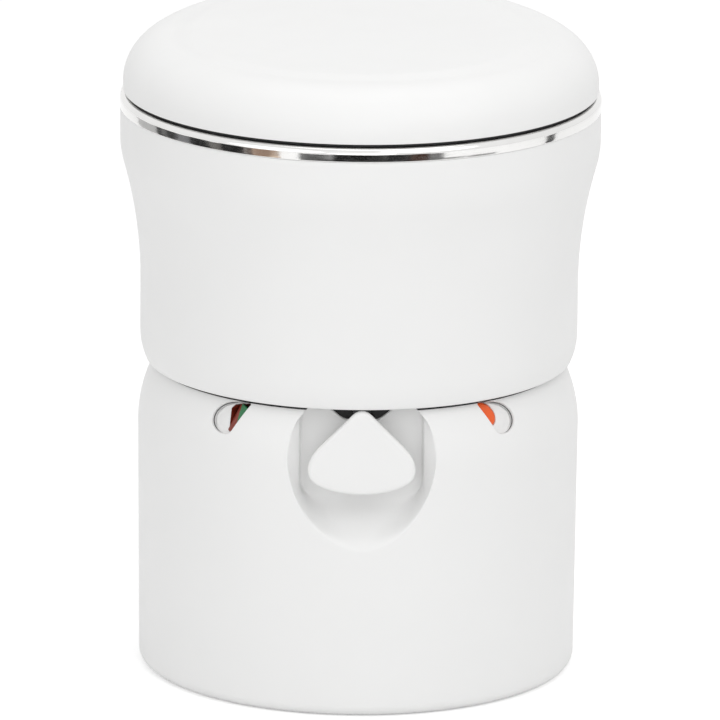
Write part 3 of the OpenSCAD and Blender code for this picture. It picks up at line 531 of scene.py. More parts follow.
def pocket_depth_at(x, z):
    """Where the pocket's surface lies behind the front, for points given from the middle of its widest line.

    The pocket tapers evenly from its mouth to its back wall, so each direction gives one wall of it. The
    mouth is an oval where it meets the skin of the tank, which curves away from the front.
    """
    share = np.full(np.shape(x), -1.0)
    for a in np.radians(np.arange(0, 360, 3)):
        nx, nz = math.cos(a), math.sin(a)
        tall = MOUTH_LOW if nz < 0 else MOUTH_HIGH
        mouth = math.hypot(MOUTH_HALF * nx, tall * nz)
        at_x, at_z = MOUTH_HALF**2 * nx / mouth, tall**2 * nz / mouth
        skin_r = RIM_R + tank_d(POCKET_Z + min(at_z, TANK_H - POCKET_Z))
        behind = -math.sqrt(skin_r**2 - at_x**2) - FRONT_Y
        corner = WALL_LOW_CORNER if nz < 0 else WALL_CORNER
        wall = (abs(nx) * (WALL_HALF - corner) + corner
                + max(nz * (WALL_HIGH - corner), -nz * (WALL_LOW - corner)))
        wall = min(wall, mouth - LEAST_TAPER)
        width = (mouth - wall) / (1 - behind / POCKET_DEPTH)
        share = np.maximum(share, (nx * x + nz * z - wall) / width)
    share = smax(share, np.zeros_like(share), 0.05 + 0.22 * step(-z, 30, 14))
    band = step(np.abs(x), WALL_HALF - 9, 8) * (1 - step(-z, 22, 30)) * step(share, 0.01, 0.05)
    return POCKET_DEPTH * (1 - share) - BAND_STEP * band * np.clip(1 - share / BAND_SHARE, 0, 1)


def crevice_low(x):
    """Height at which the dark gap over the pocket's back wall begins, lowest beside the handle's neck."""
    return CREVICE_Z - CREVICE_DROP * (1 - step(np.abs(x), NECK_HALF, CREVICE_HALF - 12))


def press_front(v):
    """Presses the finger pocket and the dark gap over its back wall back into the front of the skin."""
    x, y, z = v.T
    pocket = FRONT_Y + pocket_depth_at(x, z - POCKET_Z)
    gap = (1 - step(np.abs(x), CREVICE_HALF - 3, 3)) * step(z, crevice_low(x) - 1.2, 2.0)
    pocket = pocket + gap * CREVICE_DEPTH * step(pocket, FRONT_Y + 8, 6)
    front = (y < PRESS_Y) & (np.abs(x) < PRESS_HALF) & (z > PRESS_LOW)
    lip = 1.2 + 6.0 * step(-z, 30 - POCKET_Z, 40)
    out = v.copy()
    out[:, 1] = np.where(front, smax(y, pocket, lip), y)
    return out


def press_back(v):
    """Presses the two recesses of the rear straight forward into the skin."""
    x, y, z = v.T
    cap = (1 - step(np.hypot(x, z - DRAIN_Z), DRAIN_R - RECESS_WALL / 2, RECESS_WALL)) * DRAIN_DEPTH
    qx = np.abs(x) - (RECESS_W / 2 - RECESS_CORNER)
    qz = np.abs(z - (RECESS_LOW + RECESS_HIGH) / 2) - ((RECESS_HIGH - RECESS_LOW) / 2 - RECESS_CORNER)
    outside = np.hypot(np.clip(qx, 0, None), np.clip(qz, 0, None))
    away = outside + np.minimum(np.maximum(qx, qz), 0) - RECESS_CORNER
    depth = np.maximum(cap, (1 - step(away, -RECESS_WALL / 2, RECESS_WALL)) * RECESS_DEPTH)
    out = v.copy()
    out[:, 1] = np.where((y > 120) & (depth > 0.01), np.minimum(y, DRAIN_Y - depth), y)
    return out


def spaced(marks):
    """Values from the first mark on; each later mark gives an end and the pitch that leads to it."""
    out = [marks[0][0]]
    for (a, _), (b, pitch) in zip(marks[:-1], marks[1:]):
        out += list(np.linspace(a, b, max(1, int(round((b - a) / pitch))) + 1)[1:])
    return np.array(out)


def tank_skins():
    """Skin of the tank with its pocket, scoops and recesses, and a black strip over its upper edge that is
    painted shadow of the joint under the casing.
    """
    middle = PLAN_LENGTHS[0] / 2
    scoop_s = math.radians(SCOOP_TURN) * RIM_R
    back_s = sum(PLAN_LENGTHS[:3])
    left, right = middle - scoop_s, middle + scoop_s
    columns = spaced([(0, 4), (left - 30, 3.5), (left + 27, 0.42), (middle - PRESS_HALF, 1.6),
                      (middle + PRESS_HALF, 0.75), (right - 27, 1.6), (right + 30, 0.42),
                      (2 * middle, 3.5), (back_s - 30, 4), (back_s + PLAN_LENGTHS[3] + 30, 1.2),
                      (PLAN_TOTAL - 4, 4)])
    plan = plan_at(columns)
    low = arc(-FOOT_IN - BOTTOM_ROUND, BOTTOM_ROUND, BOTTOM_ROUND, -90, 0, 10)
    side = [(tank_d(z), z) for z in spaced([(BOTTOM_ROUND, 1), (128, 1.4), (BELT_Z, 0.8)])[1:]]
    shoulder = arc(-BELT_IN - SHOULDER_R, BELT_Z, SHOULDER_R, 0, SHOULDER_TURN, 132)[1:]
    rows = np.concatenate([[[-58, 0.0], [-40, 0.0], [-30, 0.0]], low, side, shoulder])
    v = press_back(press_front(np.concatenate([ring_at(plan, d, z) for d, z in rows])))
    v = press_scoop(press_scoop(v, 1), -1)
    cols = len(columns)
    top = v[-cols:]
    inner = ring_at(plan, -SHOULDER_IN - LAND_W, TANK_H)
    pressed = (top[:, 1] < PRESS_Y) & (inner[:, 1] < top[:, 1] + 1)
    inner[:, 1] = np.where(pressed, top[:, 1] + 1, inner[:, 1])
    # Rows above this height are copied a little outwards as a black strip, painted shadow under the casing
    shade_rows = rows[:, 1] > SEAM_SHADE_Z
    seam_shade = v[np.repeat(shade_rows, cols)].copy()
    seam_shade[:, :2] += np.tile(plan[1], (int(shade_rows.sum()), 1)) * SEAM_SHADE_OUT
    seam_shade[:, 2] += SEAM_SHADE_UP
    v = np.concatenate([v, inner, inner - np.array([0, 0, 3.0])])
    faces = loft_faces(len(rows) + 2, cols)
    faces.append(tuple(range(cols))[::-1])
    return (v, faces), (seam_shade, loft_faces(int(shade_rows.sum()), cols))


def crevice_shade_plate():
    """Thin black plate in the gap over the pocket's back wall, with a hole for the rod; it is painted shade
    that darkens the gap.
    """
    y0, y1 = FRONT_Y + POCKET_DEPTH + 1.6, FRONT_Y + POCKET_DEPTH + 2.1
    half = CREVICE_HALF - 1
    parts = []
    for x0, x1, low, high in ((-half, -ROD_ROOM, None, CASING_Z), (ROD_ROOM, half, None, CASING_Z),
                              (-ROD_ROOM, ROD_ROOM, None, ROD_LOW),
                              (-ROD_ROOM, ROD_ROOM, ROD_HIGH, CASING_Z)):
        loops = []
        for x in np.linspace(x0, x1, 20):
            z = float(crevice_low(x)) - 0.6 if low is None else low
            loops.append(np.array([(x, y0, z), (x, y1, z), (x, y1, high), (x, y0, high)]))
        parts.append(loft(loops, caps=(True, True)))
    return joined(*parts)


tank, seam_shade = tank_skins()
add("tank_shell_skin", tank, "tank", PEARL,
    ["tank_shell", "pocket_cup", "scoop_cups", "drain_cup", "handle_cup"], 50)
# Black strip over the tank's top edge under the casing: painted shadow of the joint
add("seam_shadow_strip", seam_shade, "tank", RUBBER, sharp=50)
# Black plate behind the gap over the pocket's back wall: painted shade
add("crevice_shade_plate", crevice_shade_plate(), "tank", RUBBER, sharp=30)

# Level drum behind the left scoop and release tab behind the right one
DRUM_R, DRUM_DEEP, SHAFT_R, DRUM_LOW, DRUM_HIGH, DRUM_SOFT = 12.3, 15.0, 3.0, -7.5, 16.5, 0.5
BAND_TO, COLOUR_X = 300.0, 8.4
# Black line in the scoops' grooves: painted shade along their upper and outer rims
SHADE_LINE_R, SHADE_LINE_LOW, SHADE_LINE_FROM, SHADE_LINE_TO = 0.36, 1.5, 4, 54
SKIN_FALL, SKIN_REACH = 1.9, 20.0


def band_edge(y):
    """Angle at which the red band begins; the colours meet along a slightly twisted upright line."""
    return math.degrees(math.acos((COLOUR_X - CHORD_X - y * math.tan(math.radians(CHORD_LEAN))) / DRUM_R))


def drum_sector(green):
    """Green or red sector of the level drum about its shaft, with softened edges."""
    line = ([(SHAFT_R, DRUM_LOW), (DRUM_R - DRUM_SOFT, DRUM_LOW)]
            + [(DRUM_R, y) for y in np.linspace(DRUM_LOW + DRUM_SOFT, DRUM_HIGH - DRUM_SOFT, 7)]
            + [(DRUM_R - DRUM_SOFT, DRUM_HIGH), (SHAFT_R, DRUM_HIGH)])
    loops = []
    for t in np.linspace(0, 1, 46):
        ring = []
        for r, y in line:
            edge = band_edge(y)
            a = math.radians((BAND_TO - 360) * (1 - t) + edge * t if green else edge * (1 - t) + BAND_TO * t)
            ring.append((CHORD_X + r * math.cos(a), y, -DRUM_DEEP + r * math.sin(a)))
        loops.append(np.array(ring))
    return in_scoop(loft(loops, caps=(True, True)), 1, CHORD_LEAN)


def window_liner():
    """Red trough round the drum behind the left scoop's window."""
    line = np.asarray(WINDOW) + (SCOOP_SHIFT, 0)
    line = np.stack(between(line, np.roll(line, -1, 0), (0, 0.34, 0.67)), 1).reshape(-1, 2)
    return in_scoop(loft(stacked(line, [(0.35, -4.9), (0.35, -17.6), (4.0, -17.6)]), caps=(False, True)), 1)


def scoop_shade_line(side):
    """Thin black line in the groove along the upper and outer rim of a scoop, tapered to both ends; it is
    painted shade of the rim's edge.
    """
    p = SCOOP_RIM[SHADE_LINE_FROM:SHADE_LINE_TO] + (side * SCOOP_SHIFT, 0)
    tangent = unit_rows(np.gradient(p, axis=0))
    inward = np.column_stack([-tangent[:, 1], tangent[:, 0]])
    t = np.linspace(0, 1, len(p))
    r = SHADE_LINE_R * np.clip(np.minimum(t, 1 - t) * 5, 0.08, 1)
    z = -((np.hypot(*p.T) / SKIN_REACH)**2) * SKIN_FALL - SHADE_LINE_LOW
    sides = [np.column_stack([p + inward * (GROOVE_AT + r * math.cos(a))[:, None], z + r * math.sin(a)])
             for a in np.radians(np.arange(0, 360, 45))]
    return in_scoop(wire(sides), side)


def tab_skin():
    """Release tab with a softened, slightly crowned face."""
    profile = [(0.5, -9.4), (0.0, -8.9), (0.0, -5.4), (0.4, -4.6), (1.2, -4.1), (2.6, -3.8), (5.0, -3.6)]
    return in_scoop(loft(stacked(TAB - (SCOOP_SHIFT, 0), profile), caps=(True, True)), -1)


add("gauge_drum_skin", drum_sector(True), "gauge", GREEN, ["gauge_drum"], 35)
add("gauge_band_skin", drum_sector(False), "gauge", RED, ["gauge_band"], 35)
add("window_liner", window_liner(), "tank", RED, sharp=30)
# Black lines along the scoops' upper and outer rims: painted shade
add("scoop_shade_line_left", scoop_shade_line(1), "tank", DARK, sharp=60)
add("scoop_shade_line_right", scoop_shade_line(-1), "tank", DARK, sharp=60)
add("release_tab_skin", tab_skin(), "release", ORANGE, ["release_tab"], 35)

# Upper casing: a round at the foot, a straight waist and a flare of two arcs that meet smoothly
ROUND_H, ROUND_IN = 22.0, 5.0
ROUND_R = (ROUND_H**2 + ROUND_IN**2) / (2 * ROUND_IN)
WAIST_Z = CASING_Z + ROUND_H
TOP_IN, FLARE_SHARE = 0.5, 0.82
FLARE_DX, FLARE_DZ = WAIST_IN - TOP_IN, FLARE_TOP - WAIST_TOP
FLARE_TOTAL = (FLARE_DX**2 + FLARE_DZ**2) / (2 * FLARE_DX)
FLARE_LOW, FLARE_HIGH = FLARE_SHARE * FLARE_TOTAL, (1 - FLARE_SHARE) * FLARE_TOTAL
FLARE_MID = WAIST_TOP + FLARE_SHARE * FLARE_DZ
CASING_WALL, LEDGE_IN, FLOOR_IN, FLOOR_Z = 3.0, 24.0, 50.0, 252.0


def casing_d(z):
    """Distance of the casing's skin from the rim line at a height."""
    if z < WAIST_Z:
        return -WAIST_IN - ROUND_R + math.sqrt(ROUND_R**2 - (WAIST_Z - z)**2)
    if z < WAIST_TOP:
        return -WAIST_IN
    if z < FLARE_MID:
        return -WAIST_IN + FLARE_LOW - math.sqrt(FLARE_LOW**2 - (z - WAIST_TOP)**2)
    if z < FLARE_TOP:
        return -TOP_IN - FLARE_HIGH + math.sqrt(FLARE_HIGH**2 - (FLARE_TOP - z)**2)
    return -TOP_IN


def casing_skin():
    low_d = casing_d(CASING_Z)
    heights = [*np.linspace(CASING_Z + 1.2, WAIST_Z, 14), *np.linspace(WAIST_Z + 6, CASING_TOP - 1, 46)]
    under = CASING_TOP - CASING_WALL
    return loft(rings(
        [(low_d - 2.0, CASING_Z + 0.1), (low_d - 1.2, CASING_Z), (low_d - 0.3, CASING_Z + 0.35)]
        + [(casing_d(z), z) for z in heights]
        + [(-TOP_IN - 0.3, CASING_TOP - 0.3), (-TOP_IN - 1, CASING_TOP), (-LEDGE_IN, CASING_TOP),
           (-LEDGE_IN, under)]
        + [(casing_d(z) - CASING_WALL, z) for z in np.linspace(under, FLOOR_Z + 6, 24)]
        + [(-FLOOR_IN, FLOOR_Z + CASING_WALL), (-FLOOR_IN, FLOOR_Z), (low_d - CASING_WALL, FLOOR_Z),
           (low_d - CASING_WALL, CASING_Z + 0.6)]), tube=True)


add("upper_casing_skin", casing_skin(), "upper", PEARL, ["upper_casing"], 35)

# Steel bowl with its rolled rim
ROLL_R = 5.0


def bowl_skin():
    """Rolled rim, flat deck, lip and bowl down to the outlet, then back up at the steel's thickness."""
    loops = rings([(-STEEL_T, CASING_TOP + 0.1), (-0.3, CASING_TOP + 0.1), (-0.05, CASING_TOP + 0.3),
                   (0, CASING_TOP + 0.7), (0, CASING_TOP + 2.6), (0, CASING_TOP + 4.2),
                   (0, DECK_TOP - ROLL_R - 0.6), *arc(-ROLL_R, DECK_TOP - ROLL_R, ROLL_R, 0, 90, 12),
                   (-8, DECK_TOP), (-14, DECK_TOP)])
    loops += between(loops[-1], port_ring(BOWL_R + BOWL_LIP, DECK_TOP), (0.35, 0.7))
    line = [*arc(BOWL_R + BOWL_LIP, DECK_TOP - BOWL_LIP, BOWL_LIP, 90, 172, 10),
            *smooth([(BOWL_R - 1.5, DECK_TOP - 24), (BOWL_R - 6, 412), (BOWL_R - 22, 360), (PORT_R + 24, 312),
                     (PORT_R + 8, 288), (PORT_R + 1.2, 272), (PORT_R, 257.3)], 6)]
    loops += [port_ring(r, z) for r, z in line]
    loops += [port_ring(r + STEEL_T, z - (STEEL_T if z > CASING_TOP else 0)) for r, z in line[::-1]]
    loops += rings([(-14, DECK_TOP - STEEL_T), (-5, DECK_TOP - STEEL_T), (-STEEL_T, DECK_TOP - ROLL_R - 1)])
    return loft(loops, tube=True)


add("steel_bowl_skin", bowl_skin(), "upper", CHROME, ["steel_bowl"], 45)

# Lid with its crown and hinge ears, and its seal
CROWN_IN, CROWN_Y, LID_WALL = 58.0, 35.0, 3.0
EAR_W, EAR_SOFT = 7.55, 0.6


def pushed(line, side, from_x, width, soft, bevel):
    """Solid from a line in Y and Z that is pushed through its width along X, with softened sides."""
    at, inset = bevel
    loops = []
    near = [(0, soft), (at, inset), (soft, 0)]
    for x, shrink in near + [(width - x, shrink) for x, shrink in near[::-1]]:
        p = drawn_in(line, shrink)
        loops.append(np.column_stack([np.full(len(p), side * (HINGE_X0 + from_x + x)), p]))
    return loft(loops, caps=(True, True))


def hinge_ears(from_x, y0, z0, z1):
    """Arm and knuckle of the hinge ears on both sides, which reach back to the pins."""
    line = np.array([(y0, z0), (HINGE_Y - 3, z0), *arc(HINGE_Y, HINGE_Z, KNUCKLE_R, -70, 110, 20), (y0, z1)])
    return [pushed(line, side, from_x, EAR_W, EAR_SOFT, (EAR_SOFT * 0.3, EAR_SOFT * 0.3)) for side in (-1, 1)]


def lid_skin():
    edge = LID_TOP - LID_CROWN
    round_x, round_z = -LID_IN - LID_R, edge - LID_R
    crown_w = CROWN_IN - LID_IN - LID_R
    crown = [(round_x - crown_w * t, edge + LID_CROWN * (0.5 - 0.5 * math.cos(math.pi * t)))
             for t in np.linspace(0.1, 1, 14)]
    loops = rings([(-LID_IN - 0.9, LID_LOW), (-LID_IN - 0.2, LID_LOW + 0.35), (-LID_IN, LID_LOW + 1.2),
                   *arc(round_x, round_z, LID_R, 0, 90, 22), *crown])
    loops += between(loops[-1], np.array([0.0, CROWN_Y, LID_TOP]), (0.2, 0.4, 0.6, 0.8, 0.97))
    top = loft(loops, caps=(False, True))
    inner = -LID_IN - LID_WALL
    loops = rings([(-LID_IN - 0.9, LID_LOW), (inner, LID_LOW), (inner, LID_LOW + 3.5),
                   (-LID_IN - 8, LID_LOW + 3.5), *arc(round_x, round_z, LID_R - LID_WALL, 12, 90, 10),
                   (-CROWN_IN, LID_TOP - LID_WALL)])
    loops += between(loops[-1], np.array([0.0, CROWN_Y, LID_TOP - LID_WALL]), (0.3, 0.65, 0.97))
    return joined(top, loft(loops, caps=(False, True)),
                  *hinge_ears(16.15, BACK_Y - LID_IN - LID_WALL, HINGE_Z - 3, HINGE_Z + 5))


add("lid_shell_skin", lid_skin(), "lid_unit", PEARL, ["lid_shell"], 35)
seal = [(-5.8, DECK_TOP + 0.3), (-5.5, DECK_TOP + 0.6), (-5.5, LID_LOW + 3.4), (-10.4, LID_LOW + 3.4),
        (-10.4, DECK_TOP + 0.6), (-10.0, DECK_TOP + 0.3), (-8, DECK_TOP + 0.8)]
add("lid_seal_ring", loft(rings(seal), tube=True), "lid_unit", RUBBER, ["lid_seal"], 50)

# Seat
OPEN_R, OPEN_EXTRA, SEAT_ROUND, SEAT_DISH = 98.0, 50.0, 9.0, 2.2


def opening(grown, z):
    """Loop of the seat's long opening, grown outwards."""
    c, s = np.cos(PORT_ANGLES), np.sin(PORT_ANGLES)
    r, half = OPEN_R + grown, OPEN_EXTRA / 2
    straight = r / np.maximum(np.abs(c), 1e-6)
    round_end = half * np.abs(s) + np.sqrt(np.maximum(r * r - half * half * c * c, 0))
    return port_ring(np.where(straight * np.abs(s) <= half, straight, round_end), z)


def seat_skin():
    """Seat whose top falls gently to its opening, hollow underneath."""
    loops = rings([(-SEAT_IN - 2.5, SEAT_LOW), (-SEAT_IN - 0.7, SEAT_LOW + 0.7), (-SEAT_IN, SEAT_LOW + 2.5),
                   *arc(-SEAT_IN - 6, SEAT_TOP - 6, 6, 0, 90, 8)])
    outer, inner = loops[-1], opening(SEAT_ROUND, SEAT_TOP - SEAT_DISH)
    for t in (0.2, 0.4, 0.6, 0.8, 1.0):
        p = outer + (inner - outer) * t
        p[:, 2] = SEAT_TOP - SEAT_DISH * t * t
        loops.append(p)
    loops += [opening(SEAT_ROUND * (1 - math.sin(q)), SEAT_TOP - SEAT_DISH - 7 * (1 - math.cos(q)))
              for q in np.radians([15, 30, 45, 60, 75, 90])]
    loops += [opening(grown, SEAT_LOW + up) for grown, up in ((0, 1.5), (1.2, 0), (9, 0), (10, 9.5))]
    loops += rings([(-SEAT_IN - 7, SEAT_LOW + 9.5), (-SEAT_IN - 6, SEAT_LOW)])
    return joined(loft(loops, tube=True), *hinge_ears(8.3, BACK_Y - SEAT_IN - 4, SEAT_LOW, SEAT_LOW + 7))


add("seat_ring", seat_skin(), "seat_unit", PEARL, ["seat"], 35)

# Pull handle, with its right half's outline as [x, drop] points below its tip
HANDLE_Y, HANDLE_T, HANDLE_TOP, HANDLE_MIDDLE = -(RIM_R - BELT_IN - 6), 7.0, CASING_Z - 1, 44.0
HANDLE_HALF = [(0.0, 0.0), (4.2, 1.2), (7.4, 3.8), (13.0, 9.6), (26.8, 23.4), (34.6, 31.4), (39.6, 38.4),
               (42.0, 45.5), (41.9, 51.5), (39.4, 56.6), (34.6, 60.6), (26.5, 64.0), (17.8, 66.2),
               (9.0, 67.5), (0.0, 67.9)]
BACK_ROUND, FACE_ROUND, FACE_RISE = 2.2, 3.4, 3.0


def blurred(rows, times):
    for _ in range(times):
        rows = (np.roll(rows, 1, 0) + 2 * rows + np.roll(rows, -1, 0)) / 4
    return rows


def handle_outline(count=180, steps=24, lead=3):
    """Even points and outward normals: a round tip, straight flanks, round corners, a bulging lower edge."""
    half = [(x, HANDLE_TOP - drop) for x, drop in HANDLE_HALF]
    shape = [(-x, z) for x, z in half[:0:-1] + half[:1]] + half[1:-1]
    curve = smooth(np.array(shape[-lead:] + shape + shape[:lead + 1]), steps)
    start, stop = lead * steps, (lead + len(shape)) * steps
    closed = np.vstack([curve[start:stop], curve[start:start + 1]])
    along = np.concatenate([[0], np.cumsum(np.linalg.norm(np.diff(closed, axis=0), axis=1))])
    s = np.linspace(0, along[-1], count, endpoint=False)
    line = blurred(np.column_stack([np.interp(s, along, closed[:, 0]), np.interp(s, along, closed[:, 1])]), 6)
    tangent = np.roll(line, -1, 0) - np.roll(line, 1, 0)
    normal = unit_rows(np.column_stack([tangent[:, 1], -tangent[:, 0]]))
    if np.sum(normal * (line - line.mean(0))) < 0:
        line, normal = line[::-1], -normal[::-1]
    return line, unit_rows(blurred(normal, 3))


def handle_skin():
    """Grip from its back over the rounded edge to its face, which is dished towards the middle."""
    line, normal = handle_outline()
    back = [(BACK_ROUND - BACK_ROUND * math.sin(q), HANDLE_T - BACK_ROUND + BACK_ROUND * math.cos(q))
            for q in np.radians([20, 45, 70, 90])]
    face = [(FACE_ROUND - FACE_ROUND * math.sin(q), 1 + FACE_RISE - FACE_RISE * math.cos(q))
            for q in np.radians([90, 70, 50, 30, 12])]
    edge = [(2.5, HANDLE_T), *back, *face]
    loops = [upright(line - normal * inset, HANDLE_Y + depth) for inset, depth in edge]
    inner = line - normal * FACE_ROUND
    centre = np.array([0.0, HANDLE_TOP - HANDLE_MIDDLE])
    for t in (0.1, 0.25, 0.42, 0.6, 0.78, 0.92, 0.985):
        loops.append(upright(inner + (centre - inner) * t, HANDLE_Y + 1.0 - 1.0 * math.sin(t * math.pi / 2)))
    return loft(loops, caps=(True, True))


add("pull_handle_grip", handle_skin(), "valve", PEARL, ["pull_handle"], 35)

# Drain cap, its line as [radius, height] points from the open end
CAP_R, CAP_Y, SKIRT_L, LUGS, LUG_H = 32.0, 166.7, 13.0, 18, 1.4
CAP_LINE = [(28.4, 0.4), (30.5, 0.0), (31.4, 0.4), (CAP_R, 1.2), (CAP_R, 4), (CAP_R, 8), (CAP_R, 11.5),
            (CAP_R - 0.3, 14.2), (31.2, 15.8), (29.8, 16.7), (28.0, 16.9), (26.6, 16.4), (25.6, 15.7),
            (20, 15.6), (10, 15.6), (1.5, 15.6)]
CAP_GRIP = [  # half width, half length, height
    (4.6, 27.0, 15.4), (3.9, 26.4, 16.4), (3.1, 25.8, 18.0), (2.8, 25.2, 20.3), (2.2, 24.6, 21.4),
    (1.2, 23.4, 21.9)]


def cap_ribs(a, r, z):
    """Radius of the cap with the finger ribs of its skirt, which fade out towards its face."""
    full = np.full(len(a), float(r))
    if z > 0.2 and r > CAP_R - 3:
        full = full + LUG_H * np.clip(np.cos(a * LUGS), 0, 1)**0.6 * step(-z, -SKIRT_L - 1.5, 3)
    return full


def cap_skin():
    """Ribbed cap with a rolled top edge, a sunk face and a tapered grip bar."""
    c, s = np.cos(full_turn(64)), np.sin(full_turn(64))
    oval = np.column_stack([np.sign(c) * np.abs(c)**0.5, np.sign(s) * np.abs(s)**0.35])
    grip = loft([level(oval * (half_w, half_l), z) for half_w, half_l, z in CAP_GRIP], caps=(False, True))
    body = spun(CAP_LINE, 216, caps=(False, True), ribs=cap_ribs)
    return place(joined(body, grip), (0, CAP_Y - SKIRT_L, DRAIN_Z), (0, 1, 0))


add("drain_cap_skin", cap_skin(), "cap", DARK, ["drain_cap"], 35)

# Carry handle of the tank
BAIL_HALF, BAIL_Y, BAIL_TOP, BAIL_DROP, BAIL_R, GRIP_R, BEND_R = 62.0, 161.7, 200.0, 36.0, 5.0, 7.0, 13.0
RIB_DEPTH, RIB_PITCH, RIB_TO = 0.55, 8.0, 40.0
EYE_LINE = [(4.3, -4.6), (4.5, -5.0), (7.4, -5.0), (8.0, -4.4), (8.0, 4.4), (7.4, 5.0), (4.5, 5.0),
            (4.3, 4.6)]


def bail_skin():
    """One bent bar that thickens to a ribbed grip, with an eye at each end."""
    path = ([(-BAIL_HALF, z) for z in np.linspace(-4, -BAIL_DROP + BEND_R, 8)]
            + [*arc(-BAIL_HALF + BEND_R, -BAIL_DROP + BEND_R, BEND_R, 180, 270, 12)[1:]]
            + [(x, -BAIL_DROP) for x in np.linspace(-BAIL_HALF + BEND_R, 0, 72)[1:]])
    path = np.array(path + [(-x, z) for x, z in path[-2::-1]])
    tangent = unit_rows(np.gradient(path, axis=0))
    a = full_turn(40)
    loops = []
    for (x, z), (tx, tz) in zip(path, tangent):
        grip = 1 - float(step(np.abs(x), BAIL_HALF - 16, 8))
        rib = RIB_DEPTH * grip * (0.5 - 0.5 * math.cos(2 * math.pi * x / RIB_PITCH)) * (abs(x) < RIB_TO)
        r = BAIL_R + (GRIP_R - BAIL_R) * grip - rib * np.clip(-np.sin(a) * 2, 0, 1)
        loops.append(np.column_stack([x - tz * r * np.cos(a), BAIL_Y + r * np.sin(a),
                                      BAIL_TOP + z + tx * r * np.cos(a)]))
    ring = spun(EYE_LINE, 48, tube=True)
    eyes = [place(ring, (x, BAIL_Y, BAIL_TOP), (1, 0, 0)) for x in (-BAIL_HALF, BAIL_HALF)]
    return joined(loft(loops, caps=(True, True)), *eyes)


add("carry_handle_skin", bail_skin(), "bail", DARK, ["carry_handle"], 35)

# Hinge brackets with their pins
BRACKET_W, BRACKET_T, BRACKET_TOP, BRACKET_LOW, BRACKET_CORNER = 32.0, 3.0, 6.0, 42.0, 6.0
PLATE_Y = BACK_Y - TOP_IN
PIN_LINE = [(0.4, -3.0), (3.0, -3.0), (4.0, -2.6), (4.2, -2.1), (4.2, -1.2), (3.0, -1.0),
            (3.0, BRACKET_W + 1.0), (4.2, BRACKET_W + 1.2), (4.2, BRACKET_W + 1.5), (4.0, BRACKET_W + 1.8),
            (3.0, BRACKET_W + 2.0), (0.4, BRACKET_W + 2.0)]


def bracket_plate(side):
    """Plate of one hinge bracket with rounded lower corners and a sunk field round its screws."""
    top, low, half, r = CASING_TOP - BRACKET_TOP, CASING_TOP - BRACKET_LOW, BRACKET_W / 2, BRACKET_CORNER
    line = np.concatenate([arc(half - r, low + r, r, -90, 0, 8), arc(half - 1, top - 1, 1, 0, 90, 4),
                           arc(-half + 1, top - 1, 1, 90, 180, 4), arc(-half + r, low + r, r, 180, 270, 8)])
    profile = [(0.0, 0.0), (0.0, BRACKET_T - 0.8), (0.3, BRACKET_T - 0.25), (0.9, BRACKET_T),
               (3.2, BRACKET_T), (3.9, BRACKET_T - 0.5), (6, BRACKET_T - 0.5)]
    centre = np.array([0.0, (top + low) / 2])
    shift = (side * (HINGE_X0 + half), 0)
    return loft([upright(drawn_in(line, inset, centre) + shift, PLATE_Y + out) for inset, out in profile],
                caps=(True, True))


def bracket_arm(side, from_x):
    """Arm from the plate up to the pin, with its knuckle and softened sides."""
    foot = CASING_TOP - BRACKET_TOP
    line = np.array([(PLATE_Y + 0.2, CASING_TOP - 20), *arc(HINGE_Y, HINGE_Z, KNUCKLE_R, -5, 185, 26),
                     (PLATE_Y + BRACKET_T, foot), (PLATE_Y + 0.2, foot)])
    return pushed(line, side, from_x, KNUCKLE_W, 0.7, (0.2, 0.25))


brackets = [bracket_plate(s) for s in (-1, 1)]
brackets += [bracket_arm(s, x) for s in (-1, 1) for x in (0.0, 3 * KNUCKLE_W)]
add("hinge_brackets_skin", joined(*brackets), "upper", BRUSHED, ["hinge_brackets"], 35)
pin = spun(PIN_LINE, 40, caps=(True, True))
pins = [place(pin, (s * HINGE_X0, HINGE_Y, HINGE_Z), (s, 0, 0)) for s in (-1, 1)]
add("hinge_pins_skin", joined(*pins), "upper", BRUSHED, ["hinge_pins"], 35)

# Screws, pads, bumpers and the latch's spring
SCREW_R, CROSS_HALF, CROSS_REACH, CROSS_DEPTH = 2.0, 0.42, 0.58, 0.55
HEAD_LINE = [  # shares of the head's radius and height
    (0.97, 0.0), (1.0, 0.15), (1.0, 0.45), (0.94, 0.75), (0.8, 0.93), (0.62, 1.0),
    (0.5, 1.0), (0.4, 1.0), (0.3, 1.0), (0.2, 1.0), (0.1, 1.0)]
BRACKET_SCREWS = [(s * (HINGE_X0 + BRACKET_W / 2), PLATE_Y + BRACKET_T, CASING_TOP - drop)
                  for s in (-1, 1) for drop in (14.0, BRACKET_LOW - 8.0)]
COVER_SCREWS = [(x, y, 248.4) for x in (-59.2, 59.2) for y in (-43.0, 72.0)]
SPRING_R, SPRING_FROM, SPRING_L, SPRING_Z, WIRE_R, COILS = 1.6, 22.0, 11.0, -7.5, 0.32, 6


def pan_head(origin, axis, shank, height):
    """Pan head with a cross recess, and a short shank under it."""
    a = full_turn(48)
    round_at = np.column_stack([np.cos(a), np.sin(a)])
    r = 2 * SCREW_R
    loops = [level(SCREW_R * round_at, -shank), level(SCREW_R * round_at, 0.0)]
    for share, z in HEAD_LINE:
        p = r * share * round_at
        cross = (np.abs(p).min(1) < CROSS_HALF) & (np.linalg.norm(p, axis=1) < CROSS_REACH * r)
        loops.append(np.column_stack([p, height * z - cross * CROSS_DEPTH * height]))
    return place(loft(loops, caps=(True, True)), origin, axis)


def pad(x, y, z0, z1, r, edge):
    """Round pad with a softened lower edge and a slightly hollow underside."""
    line = [(r - 3, z0 + 0.3), (r - edge, z0), (r - edge * 0.3, z0 + edge * 0.3), (r, z0 + edge), (r, z1)]
    verts, faces = spun(line, 48, caps=(True, True))
    return verts + (x, y, 0), faces


